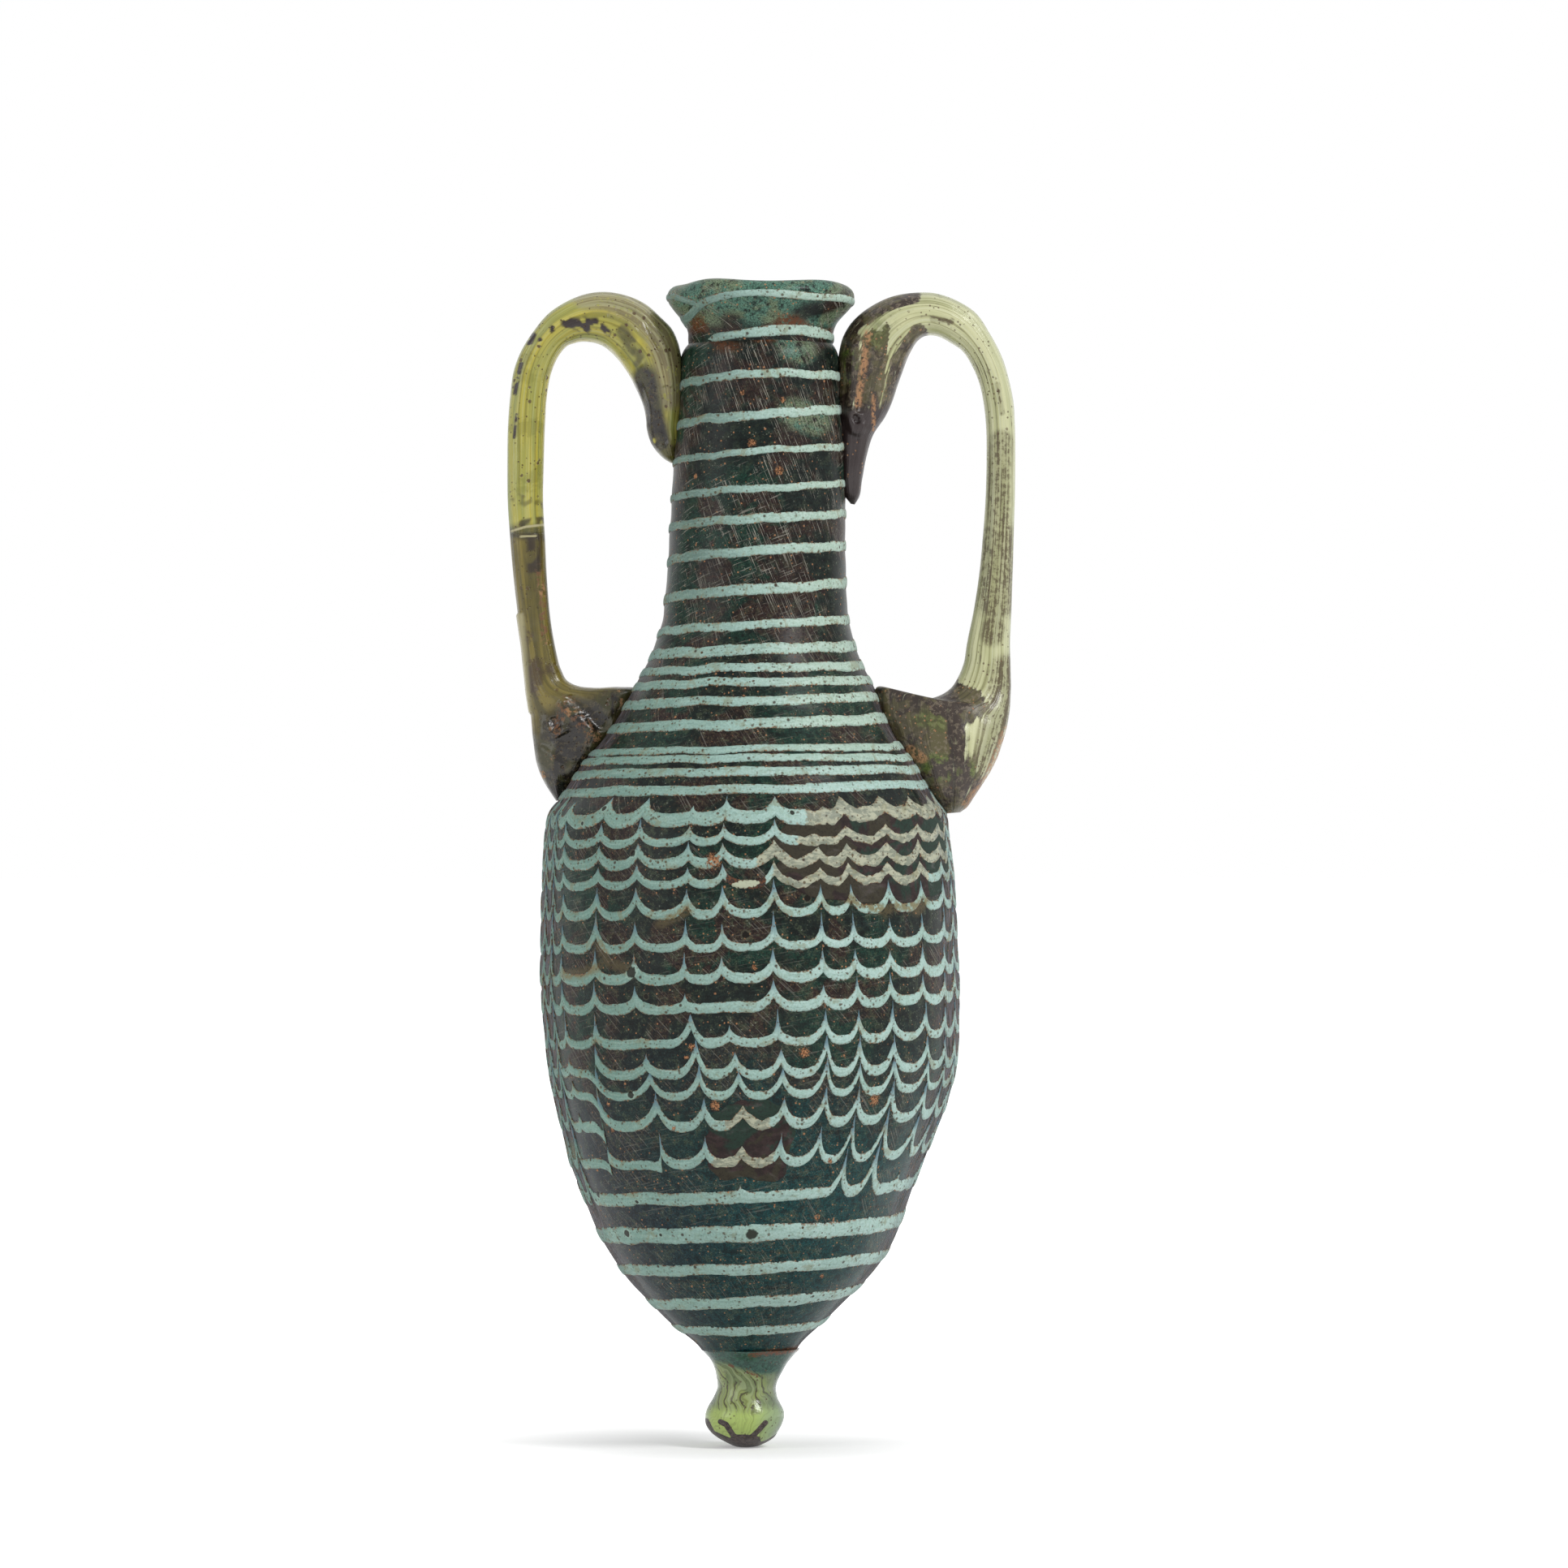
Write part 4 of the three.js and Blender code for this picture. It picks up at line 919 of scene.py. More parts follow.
def stem_table():
    """Rows by strokes: how far a stem stands over a cusp, a seeded 0.3 to 1 of the gap between
    it and the lower edge of the row above."""
    draw = np.random.default_rng(12)
    heights = np.append(ROW_HEIGHTS, 200)[:, None]
    widths = np.append(ROW_WIDTHS, 0)[:, None]
    top = heights + widths / 2 + LIFT_TABLE
    above = heights[1:] - widths[1:] / 2 + 0.75 * LIFT_TABLE[1:]
    gap = np.clip(above - top[:-1], 0, 3) * draw.uniform(0.3, 1.0, (len(ROWS), STROKE_COUNT))
    return np.vstack([gap * np.clip(LIFT_TABLE[:-1], 0, 1), np.zeros((1, STROKE_COUNT))])


STEMS = stem_table()
# A thread's section: shares of its width from its lower edge, and mm over the wall. The last two
# are under the wall's surface. Ripples of threads are taken on a drum of THREAD_DRUM mm, and the
# lay map runs THREAD_LAY mm along the thread for each radian.
RING = np.array([0, 0.07, 0.2, 0.38, 0.62, 0.8, 0.93, 1.0, 0.85, 0.15])
RING_LIFT = np.array([-0.06, 0.07, 0.13, 0.16, 0.16, 0.13, 0.07, -0.06, -0.45, -0.45])
THREAD_DRUM = 25
THREAD_LAY = 20


def lay_thread(name, node, rows, steps):
    """A closed ribbon wound up the wall over the given rows.

    Along it, each gap between two strokes has so many steps, closer together at its ends. Its
    height is the helix through the rows' heights, its angle lies between the strokes' angles at
    that height. Where t runs from -1 at one stroke to 1 at the next, the lower edge rises as
    0.75 lift |t|^2.8 and the upper as lift |t|^3.2, both blunter where repainted, and a stem as
    |t|^16 that goes a seeded share of the way to the row above. Its section is a low ridge.
    """
    count = len(rows) * STROKE_COUNT * steps
    sample = np.arange(count + 1)
    turn = np.minimum(sample // (steps * STROKE_COUNT), len(rows) - 1)
    place = sample / steps - turn * STROKE_COUNT
    left = np.minimum(place.astype(int), STROKE_COUNT - 1)
    share = 0.5 - 0.5 * np.cos(np.pi * (place - left))
    row = rows[0] + turn
    guess = np.array(ROW_HEIGHTS)[row]
    for _ in range(3):
        level = np.clip(guess, STROKE_LEVELS[0], STROKE_LEVELS[-1])
        angles = [np.interp(level, STROKE_LEVELS, STROKES[:, stroke])
                  for stroke in range(STROKE_COUNT)]
        angles = np.stack(angles + [angles[0] + TURN])
        angle = angles[left, sample] * (1 - share) + angles[left + 1, sample] * share
        guess = through(np.arange(len(ROWS)), ROW_HEIGHTS, row + angle / TURN)
    width = through(np.arange(len(ROWS)), ROW_WIDTHS, row + angle / TURN)
    height = guess
    next_row = np.where(left + 1 == STROKE_COUNT, row + 1, row)
    lift_left = LIFT_TABLE[row, left]
    lift_right = LIFT_TABLE[next_row, (left + 1) % STROKE_COUNT]
    # The last gap of a thread that is combed, or lies below one, ends at its own row's lift.
    if rows[-1] + 1 in LIFTS or rows[0] in LIFTS:
        last = (row == rows[-1]) & (left + 1 == STROKE_COUNT)
        lift_right = np.where(last, LIFT_TABLE[row, 0], lift_right)
    for (dragged, stroke), (before, after) in DRAGGED.items():
        lift_right = np.where((row == dragged) & (left + 1 == stroke), before, lift_right)
        lift_left = np.where((row == dragged) & (left == stroke), after, lift_left)
    lift = np.where(share < 0.5, lift_left, lift_right)
    off = np.abs(2 * share - 1)
    spots = np.stack([np.sin(angle) * THREAD_DRUM, np.cos(angle) * THREAD_DRUM, height], axis=-1)
    width = width * (1 + 0.07 * ripple(spots, 8, 41) + 0.04 * ripple(spots, 2.5, 42))
    height = height + 0.1 * ripple(spots, 9, 43)
    for column in SWELLINGS:
        away = (angle - front_angle(column, ROW_HEIGHTS[SWOLLEN_ROW])) * SWOLLEN_RADIUS
        width = width + 0.5 * np.exp(-(away / 1.1) ** 2) * (row == SWOLLEN_ROW)
    painted = np.zeros(count + 1)
    for painted_row, first, last in REPAINTED:
        inside = (row == painted_row) * ease(angle, np.radians(first - 1), np.radians(first + 4))
        inside = inside * ease(angle, np.radians(last), np.radians(last - 4))
        painted = np.maximum(painted, inside)
    lost = np.zeros(count + 1)
    for lost_row, first, last in LOST:
        first, last = (front_angle(column, ROW_HEIGHTS[lost_row]) for column in (first, last))
        inside = ease(angle, first - 0.02, first + 0.02) * ease(angle, last + 0.02, last - 0.02)
        lost = np.maximum(lost, (row == lost_row) * inside)
    jag = 0.035 + 0.12 * painted
    low = height - width / 2 + 0.75 * lift * off ** (2.8 - 0.8 * painted)
    low = low + jag * ripple(spots, 1.3, 44)
    high = height + width / 2 + lift * off ** (3.2 - 1.1 * painted) + jag * ripple(spots, 1.1, 45)
    nearer = np.where(share < 0.5, left, left + 1)
    stem = STEMS[row + nearer // STROKE_COUNT, nearer % STROKE_COUNT] * (1 - painted)
    high = high + stem * off ** 16
    edges = low[:, None] * (1 - RING) + high[:, None] * RING
    around = np.broadcast_to(angle[:, None], edges.shape)
    points = on_wall(around, edges, np.broadcast_to(RING_LIFT, edges.shape))
    run = np.concatenate([[0], np.cumsum(np.abs(np.diff(angle + turn * TURN)) * THREAD_LAY)])
    shape = np.ones(edges.shape)
    over = edges - (height + width / 2 + 0.45 * lift)[:, None]
    tip = ease(over, 0.0, 1.2) * ease(off, 0.55, 0.95)[:, None]
    # The threads' sides as seen from the front carry the painted sheen and wear.
    marks = {"tip": tip, "repaint": painted[:, None] * shape, "edge": np.abs(2 * RING - 1) * shape,
             "side_sheen_and_wear": side_sheen_and_wear(angle)[:, None] * shape, "lost": lost[:, None] * shape,
             "mend": stained(points, MENDS, MEND_WIDTH)}
    skin(name, points, thread_finish, [node], caps=True,
         across=np.append(RING, 0), along=run, marks=marks)


# The rim's thread: its total angle in degrees and the station of the rim's section it lies on,
# half its width in stations, and the lay map's mm for each radian.
RIM_THREAD_ANGLES = [-45, -10, 30, 60, 90, 180, 270, 293, 320, 351, 400, 443, 540, 630, 650,
                     668, 678]
RIM_THREAD_STATIONS = [2.9, 3.5, 3.9, 3.6, 3.3, 4.2, 5.2, 5.6, 7.2, 8.6, 8.35, 8.2, 8.6, 8.9,
                       9.0, 7.7, 6.9]
RIM_THREAD_HALF = 0.62
RIM_THREAD_LAY = 11


def lay_rim_thread():
    """A closed ribbon in the throat, up the funnel behind and once round the lip: stations of
    the rim's section along the angle, with half its width to each side of it."""
    total = np.radians(np.linspace(RIM_THREAD_ANGLES[0], RIM_THREAD_ANGLES[-1], 900))
    middle = through(np.radians(RIM_THREAD_ANGLES), RIM_THREAD_STATIONS, total)
    half = RIM_THREAD_HALF + 0.06 * np.sin(3.1 * total) + 0.05 * np.sin(7.7 * total + 1)
    ends = ease(total, total[0], total[0] + 0.12) * ease(total, total[-1], total[-1] - 0.16)
    half = half * (0.25 + 0.75 * ends)
    edges = middle[:, None] + half[:, None] * (2 * RING - 1)
    around = np.broadcast_to(total[:, None], edges.shape)
    points = on_rim(around, edges, np.broadcast_to(RING_LIFT, edges.shape))
    shape = np.ones(edges.shape)
    # The rim thread's sides carry half the painted sheen and wear.
    marks = {"tip": 0 * shape, "repaint": 0 * shape, "edge": np.abs(2 * RING - 1) * shape,
             "side_sheen_and_wear": 0.5 * side_sheen_and_wear(around), "mend": 0 * shape, "lost": 0 * shape}
    skin("rim_thread", points, thread_finish, ["rim_trail"], caps=True,
         across=np.append(RING, 0), along=total * RIM_THREAD_LAY, marks=marks)


# The fills


def lay_fill(name, node, middle, level, half_angle, half_height, seed):
    """A closed patch over the wall: rings that grow from its middle to a ragged outline, a
    rounded oblong times a ripple, raised 0.05 mm on top and running 0.5 mm under its edge."""
    top = np.linspace(0.02, 0.97, 40)
    spin = np.linspace(0, TURN, 160, endpoint=False)[None, :]
    rings = np.concatenate([top, [1.0, 1.0, 0.9, 0.5, 0.05]])[:, None]
    lift = np.concatenate([np.full(len(top), 0.05), [0.03, -0.1, -0.5, -0.5, -0.5]])[:, None]
    oblong = (np.abs(np.cos(spin)) ** 3 + np.abs(np.sin(spin)) ** 3) ** (-1 / 3)
    compass = np.stack([np.cos(spin) * 8, np.sin(spin) * 8, np.zeros(spin.shape)], axis=-1)
    outline = oblong * (1 + 0.06 * ripple(compass, 7, seed) + 0.03 * ripple(compass, 2, seed + 1))
    reach = rings * outline
    angle = np.radians(middle) + np.radians(half_angle) * reach * np.cos(spin)
    height = level + half_height * reach * np.sin(spin)
    points = on_wall(angle, height, lift * np.ones(reach.shape))
    skin(name, points, fill_finish, [node], caps=True)


# The handles


# Cross sections of a handle: the column and row of its outer edge and of its edge towards the
# loop, read off the photograph; its half depth and how far it stands behind the middle, in mm.
LEFT_PAD = [
    (685, 987, 699, 984, 1.2, 0.6), (677, 975, 712, 962, 2.4, 0.6),
    (670, 963, 724, 950, 3.2, 0.6), (663, 947, 736, 938, 3.6, 0.7),
    (659.5, 933, 750, 924, 3.9, 0.8), (657.5, 918, 762, 907, 4.0, 0.8),
    (656, 906, 771, 889, 4.1, 0.8), (655, 895, 784, 868, 4.0, 0.8),
    (654, 885, 788, 850, 3.8, 0.8), (652, 873, 762, 846.5, 3.6, 0.7),
    (650.5, 863, 734, 847.5, 3.4, 0.6), (649, 852, 713, 845.5, 3.0, 0.5),
    (648, 839, 699, 839, 2.6, 0.3), (646.5, 825, 691, 825, 2.4, 0.2),
    (644, 800, 684.5, 800, 2.2, 0.1), (639, 765, 678.5, 765, 2.1, 0),
    (633, 715, 674, 715, 2.1, 0), (628.5, 665, 671.5, 665, 2.1, 0),
]
LEFT_SHAFT = [
    (625.5, 615, 669, 614, 2.1, 0), (625, 570, 670, 569, 2.1, 0), (626, 520, 671.5, 521, 2.1, 0),
    (629, 484, 674, 486, 2.1, 0), (633, 457, 679, 460, 2.15, 0), (643, 431, 688, 439, 2.3, 0),
    (657, 409, 698, 427, 2.5, 0), (675, 387.5, 708, 423, 2.7, 0), (698, 372, 716, 421.3, 2.9, 0),
    (721, 362.8, 725, 421.5, 3.1, 0), (748, 360, 735, 423.5, 3.3, 0),
    (773, 365, 744, 427.5, 3.5, 0), (796, 375.7, 753, 434.5, 3.7, 0),
    (814, 391.4, 762, 444, 3.8, 0), (828, 406, 769.5, 454, 3.8, 0), (836, 424, 776.5, 465, 3.8, 0),
    (840, 445, 783, 478, 3.7, 0), (842, 465, 789, 491, 3.6, 0), (842, 485, 794, 505, 3.4, 0),
    (841, 505, 796, 518, 3.2, 0), (839, 522, 797, 530, 3.0, 0), (838, 540, 803, 548, 2.7, 0),
    (836, 553, 812, 560, 2.2, 0), (834, 563, 820, 567, 1.6, 0), (832, 570, 827, 571, 0.8, 0),
]
RIGHT_HANDLE = [
    (1183, 1001, 1158, 1003, 1.6, -0.8), (1190.5, 995.5, 1150, 990, 3.0, -0.9),
    (1200.5, 981, 1136, 972, 4.2, -1.0), (1211, 965, 1123, 957, 4.7, -1.1),
    (1220.5, 950, 1110, 936, 5.0, -1.2), (1228.5, 934, 1096, 915, 5.0, -1.2),
    (1234, 918, 1086, 893, 4.8, -1.2), (1238.5, 903, 1078, 872, 4.4, -1.1),
    (1241.5, 890, 1082, 846, 3.9, -1.0), (1243.5, 878, 1110, 853.5, 3.6, -0.8),
    (1244.5, 868, 1137, 861.5, 3.3, -0.6), (1245, 857, 1158, 857, 2.9, -0.4),
    (1245.5, 846, 1172, 847.5, 2.6, -0.3), (1245.3, 834, 1180, 835, 2.4, -0.2),
    (1245, 818, 1187, 818, 2.3, -0.1), (1244.5, 795, 1191, 795, 2.2, 0),
    (1246, 755, 1199, 755, 2.1, 0), (1247.5, 710, 1206, 710, 2.1, 0),
    (1249, 660, 1211, 660, 2.1, 0), (1250.5, 609, 1214.5, 609, 2.1, 0),
    (1251, 565, 1215.5, 565, 2.1, 0), (1250.5, 525, 1215, 526, 2.1, 0),
    (1248.5, 495, 1212, 498, 2.1, 0), (1243, 468, 1207, 474, 2.15, 0),
    (1235.5, 443, 1199, 453.5, 2.25, 0), (1220.5, 413, 1186, 433, 2.4, 0),
    (1201, 385, 1171, 422.5, 2.6, 0), (1177, 370, 1159, 416, 2.8, 0),
    (1151, 361.5, 1148, 413.5, 3.0, 0), (1122, 361.5, 1138, 415, 3.3, 0),
    (1093, 368, 1130, 421, 3.6, 0), (1067, 382, 1124, 430, 3.8, 0),
    (1050, 397, 1118, 442, 3.9, 0), (1039, 415, 1112.5, 457, 3.9, 0),
    (1033, 440, 1106, 475, 3.8, 0), (1031, 468, 1099, 496, 3.5, 0),
    (1031, 500, 1090, 515, 3.0, -0.2), (1031.5, 530, 1076, 536, 2.6, -0.4),
    (1032.5, 560, 1067.5, 563, 2.3, -0.5), (1034, 590, 1062, 592, 2.0, -0.5),
    (1040, 611, 1058, 614, 1.4, -0.4), (1048, 621, 1053, 622, 0.6, -0.3),
]


# A handle's grid: the rings along it and the points of a ring. Then the height in mm of the old
# break in the left handle, and how far across its shaft stays.
HANDLE_ROWS = 860
HANDLE_COLUMNS = 96
BREAK_LEVEL = 117.4
SHAFT_ACROSS = -25


def sweep(sections, seed):
    """Points of a handle: full ovals, their cosine and sine to the power 0.8, whose long
    diameter joins each section's two edges and whose depth is its own, drawn smoothly through
    the sections. Flutes run along it: three waves round the section that turn slowly, and a
    ripple, both faded out at the ends. Then their distance along the handle, and how
    pale they are: most on the side away from the loop."""
    sections = np.array(sections, float)
    outer = np.stack(from_photo(sections[:, 0], sections[:, 1]), axis=1)
    inner = np.stack(from_photo(sections[:, 2], sections[:, 3]), axis=1)
    steps = np.hypot(*np.diff((outer + inner) / 2, axis=0).T)
    spaced = np.concatenate([[0], np.cumsum(np.maximum(steps, 0.6))])
    table = np.concatenate([outer, inner, sections[:, 4:]], axis=1)
    along = np.linspace(0, spaced[-1], HANDLE_ROWS)
    path = through(spaced, table, along)
    outer, inner, depth, behind = path[:, 0:2], path[:, 2:4], path[:, 4], path[:, 5]
    spin = np.linspace(0, TURN, HANDLE_COLUMNS, endpoint=False)
    centre, reach = (outer + inner) / 2, (outer - inner) / 2
    turning = spin[None, :] + 0.02 * along[:, None]
    flutes = (0.016 * np.cos(3 * turning + 1.0) + 0.012 * np.cos(7 * turning + 2.0)
              + 0.008 * np.cos(11 * turning))
    wide = np.sign(np.cos(spin)) * np.abs(np.cos(spin)) ** 0.8
    deep = np.sign(np.sin(spin)) * np.abs(np.sin(spin)) ** 0.8
    flat = centre[:, None, :] + reach[:, None, :] * wide[None, :, None]
    back = behind[:, None] + depth[:, None] * deep[None, :]
    points = np.stack([flat[..., 0], back, flat[..., 1]], axis=-1)
    grain = ripple(points, 6, seed) * 0.02 + ripple(points, 2.2, seed + 1) * 0.008
    ends = ease(along, 0, 3) * ease(along, spaced[-1], spaced[-1] - 3)
    size = 1 + (flutes + grain) * ends[:, None] * np.abs(np.sin(spin))[None, :] ** 0.7
    middle = np.stack([centre[:, 0], behind, centre[:, 1]], axis=-1)[:, None, :]
    pale = np.clip(0.5 + 0.5 * np.cos(spin - 0.4), 0, 1) ** 3 * np.ones(points.shape[:2])
    return middle + (points - middle) * size[..., None], along, pale


def make_left_handle():
    """The left handle in its two pieces, parted at the old break. Over its arch lie a pale ribbed
    leaf of glass and a groove, and a sliver stands out from its outer edge."""
    points, along, pale = sweep(LEFT_PAD + LEFT_SHAFT, 51)
    across, high = points[..., 0], points[..., 2]
    facing = points[..., 1] < 1.5
    ribs = [(0.28, [(772 - shift, 372 + shift), (800 - shift, 392 + shift),
                    (818 - shift, 428 + shift), (826 - shift, 475)], 0.9) for shift in (0, 9, 18)]
    press(points, (0.55, [(697, 869), (715, 887), (733, 915)], 1.7),
          (0.35, [(676, 893), (684, 906), (695, 899)], 1.0),
          (-0.5, [(706, 866), (724, 876), (742, 890)], 2.2), (-0.45, [(684, 890), (686, 897)], 1.4),
          (-0.5, [(797, 462), (803, 500), (813, 540)], 2.4),
          (0.3, [(665, 930), (690, 948), (706, 955)], 2.4), *ribs)
    pad = 1 - ease(high - 0.55 * (across + 30) + 1.2 * ripple(points, 4, 53), 89, 93)
    root = strokes(points, ([(795, 468), (802, 505), (812, 545)], 3.4),
                   ([(806, 545), (826, 560)], 2.6, 0.8)) * ease(ripple(points, 2.0, 54), -1.9, -1.2)
    leaf = strokes(points, ([(722, 366), (752, 369), (784, 384), (810, 412), (822, 448),
                             (825, 490)], 3.6))
    groove = strokes(points, ([(768, 410), (782, 432), (793, 458)], 1.7))
    root = np.maximum(root, 0.75 * groove * ease(ripple(points, 1.6, 59), -1.2, -0.2))
    ring = ease(np.abs(high - 117.6 - 0.3 * ripple(points, 3, 55)), 1.3, 0.4)
    ink = strokes(points, ([(699, 399), (712, 401), (722, 405)], 1.6),
                  ([(722, 397), (728, 399), (734, 398)], 1.0), ([(742, 404), (750, 412)], 0.8),
                  ([(658, 414), (653, 424)], 0.8), ([(644, 444), (640, 460)], 0.6),
                  ([(638, 468), (635, 486)], 0.55), ([(681, 405), (681, 410)], 0.6),
                  ([(666, 420), (666, 426)], 0.6), ([(637, 512), (634, 540)], 0.4))
    ink = ink * ease(ripple(points, 1.0, 56), -0.9, -0.3)
    stain = strokes(points, ([(634, 612), (650, 620), (668, 624)], 1.4))
    ink = np.maximum(ink, 0.5 * stain * ease(ripple(points, 1.2, 60), -0.5, 0.5))
    blot = strokes(points, ([(659, 668), (659, 700)], 2.0), ([(645, 646), (667, 642)], 1.1))
    ink = np.maximum(ink, 0.8 * blot * ease(ripple(points, 1.6, 58), -0.8, 0.2))
    dirt = strokes(points, ([(694, 871), (714, 885), (733, 908)], 1.6),
                   ([(700, 862), (690, 885), (684, 900)], 1.4),
                   ([(665, 700), (669, 745), (672, 790)], 1.0))
    dirt = np.maximum(dirt, ease(ripple(points, 2.0, 57), 0.9, 1.4) * pad)
    crack = strokes(points, ([(631, 655), (648, 650), (672, 647)], 0.3),
                    ([(642, 662), (661, 661)], 0.25))
    sliver = strokes(points, ([(641, 762), (645, 820), (650, 875)], 1.3))
    sliver = sliver * ease(points[..., 1], 0.9, 0.1)
    points[..., 0] -= 0.25 * sliver
    marks = {"dark": np.clip(np.maximum(pad, root) + 0.75 * ring, 0, 1), "ink": ink * facing,
             "dirt": dirt * facing, "back": pale, "leaf": leaf * facing,
             "crack": np.maximum(crack, 0.85 * sliver) * facing}
    cut = np.argmin(np.abs(high.mean(1) - BREAK_LEVEL) + 1e3 * (across.mean(1) > SHAFT_ACROSS))
    for name, node, part in (("left_handle_lower_glass", "handle_left_lower", slice(0, cut + 1)),
                             ("left_handle_upper_glass", "handle_left_upper", slice(cut, None))):
        skin(name, points[part], left_finish, [node], caps=True,
             along=along[part], marks={mark: amount[part] for mark, amount in marks.items()})


def make_right_handle():
    """The right handle with its dark drip down the neck, which hangs from a pressed knot."""
    points, along, pale = sweep(RIGHT_HANDLE, 71)
    across, high = points[..., 0], points[..., 2]
    facing = points[..., 1] < 1.5
    slow = ripple(points, 5, 73)
    # The dark pad's edge: how far across it lies at each height.
    limit = through([80, 82, 85.8, 89, 92.1, 95.2, 98.4, 101, 104],
                    [45, 38, 30.5, 29, 28.4, 31, 27.5, 20, 10], high)
    pad = ease(across + 0.5 * slow, limit + 0.9, limit - 0.9)
    root = strokes(points, ([(1040, 414), (1060, 393), (1090, 375), (1124, 366)], 2.4),
                   ([(1038, 415), (1041, 470), (1046, 520)], 4.4),
                   ([(1076, 424), (1072, 465), (1066, 515)], 3.2),
                   ([(1092, 405), (1088, 440), (1084, 480)], 0.8),
                   ([(1132, 414), (1110, 447), (1100, 490), (1088, 530)], 2.6))
    root = np.maximum(root, ease(high + 1.5 * slow, 134.5, 130.5) * ease(high, 112, 114))
    press(points, (0.45, [(1050, 512), (1056, 528)], 2.2), (-0.5, [(1054, 516), (1056, 520)], 0.8),
          (-0.4, [(1069, 430), (1066, 470), (1058, 505)], 1.2),
          (0.3, [(1053, 430), (1053, 470), (1050, 500)], 1.6))
    ink = (1 - ease(high + 0.8 * slow, 131.5, 134.0)) * ease(high, 112, 114) * (across < 22)
    green = strokes(points, ([(1045, 440), (1050, 470)], 1.8),
                    ([(1076, 424), (1092, 396)], 2.6, 0.5), ([(1150, 945), (1185, 950)], 3.4),
                    ([(1135, 885), (1160, 892)], 2.4, 0.6))
    soot = strokes(points, ([(1233, 545), (1230, 600), (1230, 665)], 3.0),
                   ([(1231, 665), (1228, 742)], 5.0), ([(1224, 772), (1222, 783)], 3.0),
                   ([(1240, 830), (1230, 915), (1198, 985)], 4.6),
                   ([(1148, 395), (1172, 398)], 0.7), ([(1228, 475), (1234, 510)], 0.7))
    dirt = strokes(points, ([(1069, 412), (1064, 450), (1057, 500)], 0.9),
                   ([(1076, 490), (1076, 530)], 0.5), ([(1135, 935), (1120, 925)], 1.4),
                   ([(1240, 900), (1216, 960), (1190, 992)], 1.2, 0.8))
    marks = {"dark": np.clip(pad + root * (across < 25), 0, 1), "ink": ink, "back": pale,
             "dirt": dirt * facing, "green": green * facing, "soot": soot}
    skin("right_handle_glass", points, right_finish, ["handle_right"],
         caps=True, along=along, marks=marks)


# The knob


# Its silhouette: row of the photograph, left column, right column.
KNOB_EDGES = [(1783, 911, 925), (1781.5, 904, 934), (1777, 894.5, 944.5), (1771, 883.5, 953.5),
              (1764.5, 875.5, 958.2), (1755.3, 869.7, 963.3), (1745, 869.2, 966.1),
              (1738, 871, 965.3), (1731, 874.2, 962.3), (1722, 879.5, 958.3),
              (1711, 883.8, 957.1), (1704, 883.9, 958.2), (1697, 882.7, 961.2),
              (1689, 881, 965.3), (1681, 878, 969.4), (1673.7, 873.8, 974.5),
              (1667.6, 868.5, 979.6), (1663, 864.6, 984), (1661.5, 863.6, 984.4)]
KNOB_ROWS = 170
KNOB_COLUMNS = 200


def make_knob():
    """Level rings between the knob's left and right edges, as deep as they are wide, pressed a
    little by ripples, with its marks painted where the photograph shows them."""
    edges = np.array(KNOB_EDGES)
    left, level = from_photo(edges[:, 1], edges[:, 0])
    right = from_photo(edges[:, 2], edges[:, 0])[0]
    station = np.linspace(0, len(edges) - 1, KNOB_ROWS)
    numbers = np.arange(len(edges))
    left, right, level = (through(numbers, part, station) for part in (left, right, level))
    angle = np.linspace(0, TURN, KNOB_COLUMNS, endpoint=False)[None, :]
    radius = ((right - left) / 2)[:, None] * np.ones(angle.shape)
    middle = ((right + left) / 2)[:, None]
    height = level[:, None] * np.ones(angle.shape)
    spots = np.stack([radius * np.sin(angle), radius * np.cos(angle), height], axis=-1)
    size = 1 + 0.02 * ripple(spots, 5, 91) * ease(height, 0.0, 2.0)
    across = middle + radius * size * np.sin(angle)
    points = np.stack([across, -radius * size * np.cos(angle), height], axis=-1)
    front = np.cos(angle) > 0
    ink = strokes(points, ([(888, 1749), (895, 1752), (900, 1760), (905, 1768)], 0.75),
                  ([(943, 1750), (934, 1760), (926, 1768)], 0.7),
                  ([(871, 1750), (878, 1764), (898, 1772)], 0.7), ([(907, 1773), (930, 1774)], 1.3),
                  ([(932, 1779), (946, 1774), (957, 1768)], 0.4)) * front
    foot = ease(height + 0.5 * ripple(points, 3, 92) - 0.16 * across, 2.1, 1.6)
    ink = np.clip(ink + foot * ease(across, 2.6, 1.4), 0, 1)
    dirt = strokes(points, ([(925, 1666), (950, 1664), (985, 1661)], 0.7),
                   ([(899, 1679), (903, 1681)], 0.4), ([(922, 1687), (932, 1693)], 0.5)) * front
    # The knob's sides carry the painted sheen.
    marks = {"side_sheen_and_wear": side_sheen_and_wear(angle) * np.ones(height.shape), "ink": ink, "dirt": dirt}
    skin("knob_glass", points, knob_finish, ["base_knob"], caps=True, marks=marks)


make_wall()
make_rim()
lay_thread("lower_thread", "lower_trail", range(0, 5), 14)
lay_thread("festoon_thread", "festoon_trail", range(5, 18), 18)
lay_thread("shoulder_thread", "shoulder_trail", range(18, 27), 8)
lay_thread("neck_thread", "neck_trail", range(27, 35), 7)
lay_rim_thread()
lay_fill("shoulder_fill", "fill_shoulder", 42, 76.4, 34, 6.0, 81)
lay_fill("belly_fill", "fill_belly", 1, 40.4, 13, 5.2, 83)
make_left_handle()
make_right_handle()
make_knob()


# The floor, the world, the lamps and the camera


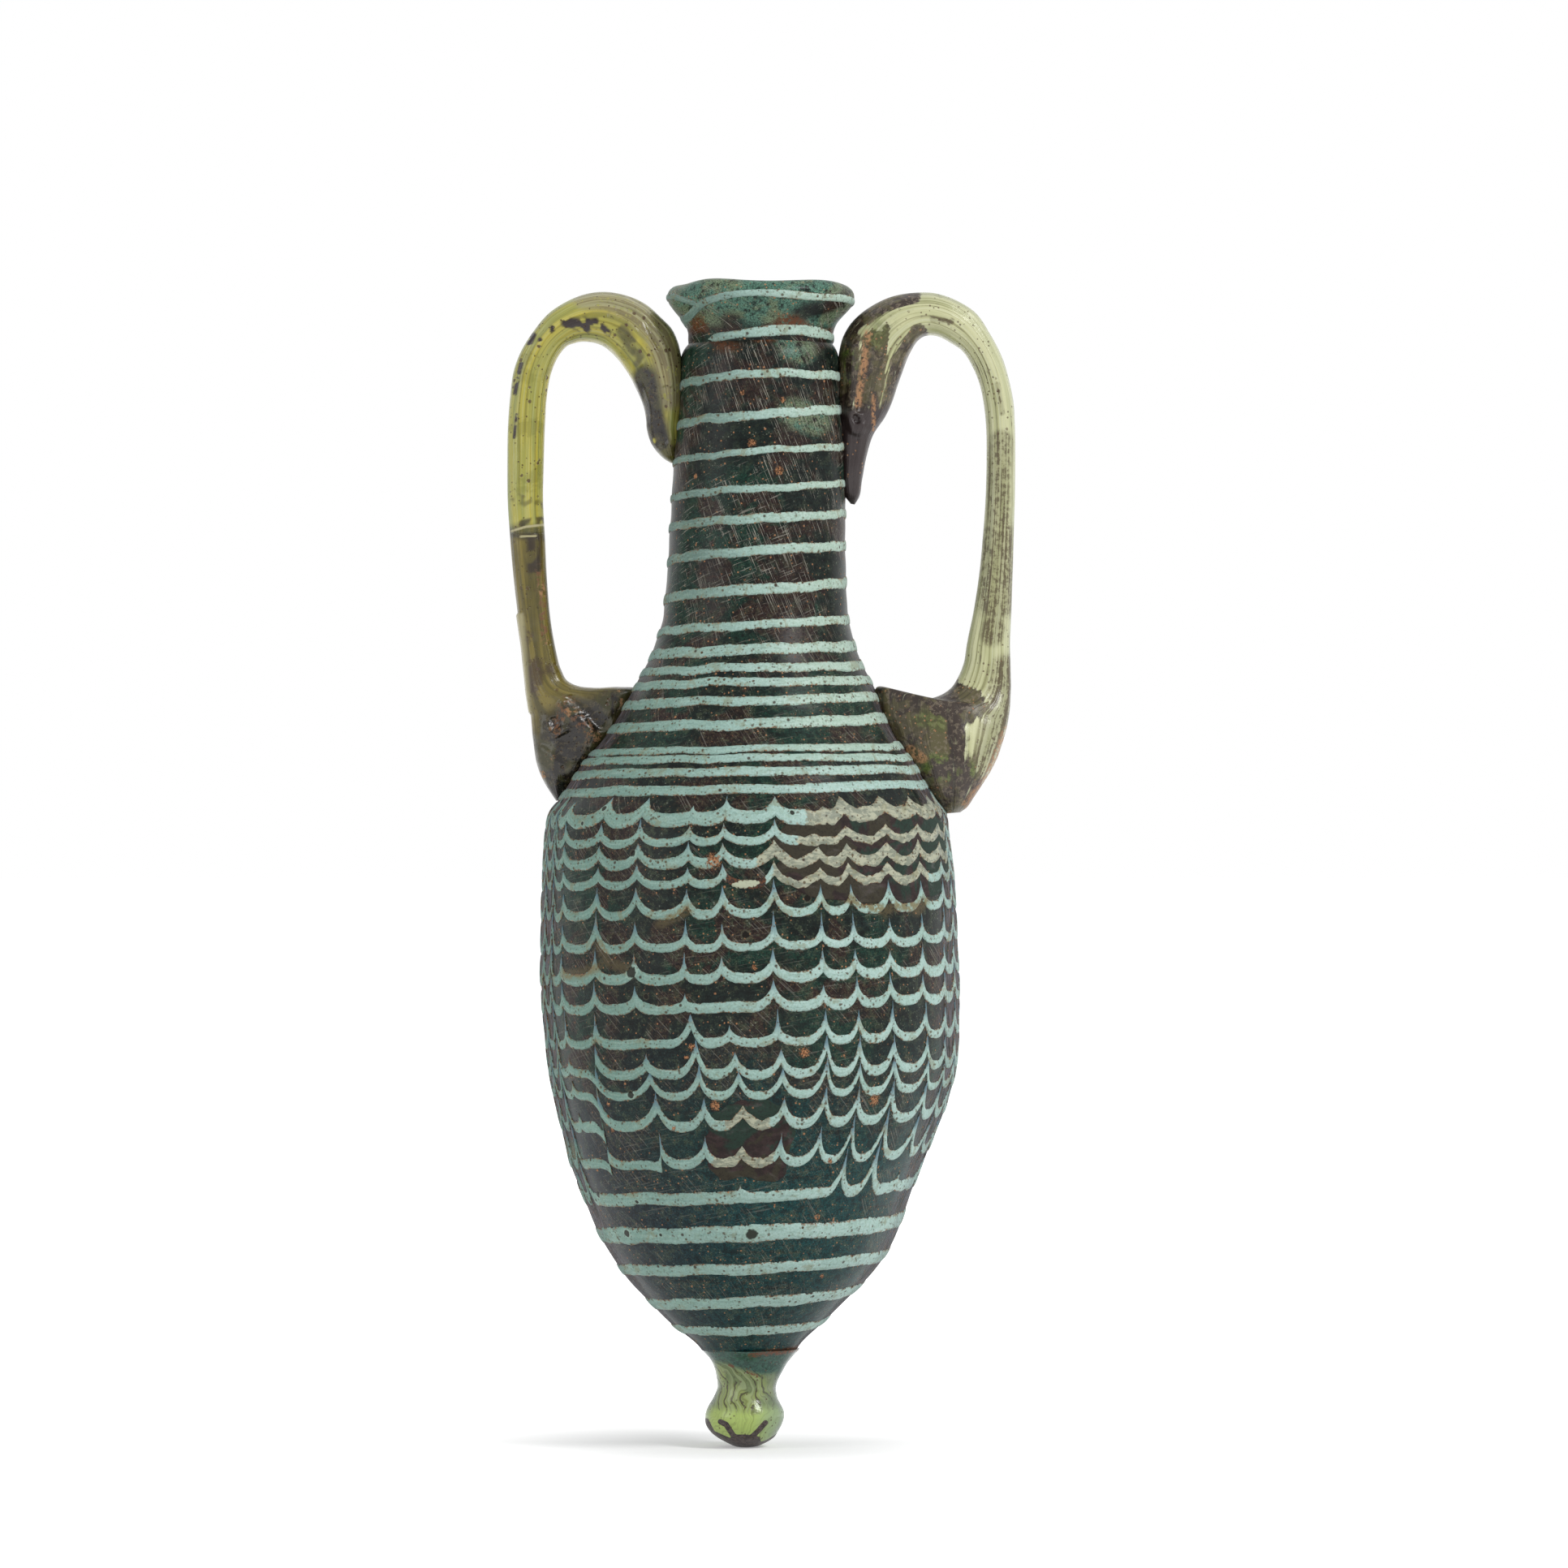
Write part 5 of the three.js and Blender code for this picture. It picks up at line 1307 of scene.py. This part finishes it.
def floor_finish():
    """White to the camera where it is lit, with the object's shadow: a plain white surface, and
    for camera and mirror rays a glow added to it that lifts lit parts past white. The glow is
    weakest within 6 mm of the foot and grows to full by 60 mm, which paints a deeper shadow there."""
    f = Finish("studio_floor")
    rays = f.add("ShaderNodeLightPath", out="Is Camera Ray")
    gloss = f.add("ShaderNodeLightPath", out="Is Glossy Ray")
    through_glass = f.add("ShaderNodeLightPath", out="Is Transmission Ray")
    seen = rays.reckon("MINIMUM", rays + gloss + through_glass, 1.0)
    away = f.add("ShaderNodeVectorMath", {"operation": "LENGTH"}, {0: f.place}, out="Value")
    # A weaker glow near the foot: painted shade that deepens the shadow round it.
    lift = 0.27 + 0.68 * f.step(away, 6, 60)
    plain = f.add("ShaderNodeBsdfDiffuse", None, {"Color": (0.9, 0.9, 0.9, 1)})
    glow = f.add("ShaderNodeEmission", None, {"Color": (1, 1, 1, 1), "Strength": seen * lift})
    return f.close(f.add("ShaderNodeAddShader", None, {0: plain, 1: glow}))


def make_floor():
    """A level sheet under the foot, broad enough to fill the view."""
    mesh = bpy.data.meshes.new("studio_floor")
    corners = [(-4, -3, 0), (4, -3, 0), (4, 6, 0), (-4, 6, 0)]
    mesh.from_pydata(corners, [], [(0, 1, 2, 3)])
    mesh.materials.append(floor_finish())
    floor = bpy.data.objects.new("studio_floor", mesh)
    bpy.context.scene.collection.objects.link(floor)


def make_world():
    """A plain pale surround that lights the object softly, and reads as white to the camera,
    to mirrors and through glass."""
    world = bpy.data.worlds.new("studio")
    bpy.context.scene.world = world
    world.use_nodes = True
    tree = world.node_tree
    tree.nodes.clear()
    path = tree.nodes.new("ShaderNodeLightPath")
    seen = path.outputs["Is Camera Ray"]
    for ray in ("Is Glossy Ray", "Is Transmission Ray"):
        either = tree.nodes.new("ShaderNodeMath")
        either.operation = "MAXIMUM"
        tree.links.new(seen, either.inputs[0])
        tree.links.new(path.outputs[ray], either.inputs[1])
        seen = either.outputs[0]
    choose = tree.nodes.new("ShaderNodeMixShader")
    tree.links.new(seen, choose.inputs[0])
    for socket, strength in ((1, 0.42), (2, 1.0)):
        white = tree.nodes.new("ShaderNodeBackground")
        white.inputs["Color"].default_value = (1, 1, 1, 1)
        white.inputs["Strength"].default_value = strength
        tree.links.new(white.outputs[0], choose.inputs[socket])
    output = tree.nodes.new("ShaderNodeOutputWorld")
    tree.links.new(choose.outputs[0], output.inputs["Surface"])


def make_lamp(name, place, aim, size, power):
    """A square soft lamp at a place, turned so that its face looks at the aim."""
    lamp = bpy.data.lights.new(name, "AREA")
    lamp.shape = "SQUARE"
    lamp.size = size
    lamp.energy = power
    holder = bpy.data.objects.new(name, lamp)
    holder.location = place
    away = np.array(place) - np.array(aim)
    flat = np.hypot(away[0], away[1])
    holder.rotation_euler = (np.arctan2(flat, away[2]), 0, np.arctan2(away[0], -away[1]))
    bpy.context.scene.collection.objects.link(holder)


def make_camera():
    """The photograph's view: level, 1 m in front, with the frame's middle at its height."""
    camera = bpy.data.cameras.new("photograph_view")
    camera.lens = 180
    camera.sensor_width = 36
    camera.sensor_fit = "HORIZONTAL"
    camera.clip_end = 50
    holder = bpy.data.objects.new("photograph_view", camera)
    holder.location = (0.001 * CAMERA_ACROSS, -0.001 * CAMERA_AWAY, 0.001 * CAMERA_LEVEL)
    holder.rotation_euler = (np.pi / 2, 0, 0)
    bpy.context.scene.collection.objects.link(holder)
    bpy.context.scene.camera = holder


make_floor()
make_world()
make_lamp("key_lamp", (0.68, -0.53, 0.72), (0, 0, 0.08), 0.3, 5.4)
make_lamp("left_lamp", (-0.75, -0.45, 0.35), (0, 0, 0.08), 0.5, 1.6)
make_camera()
bpy.context.scene.view_settings.view_transform = "Standard"
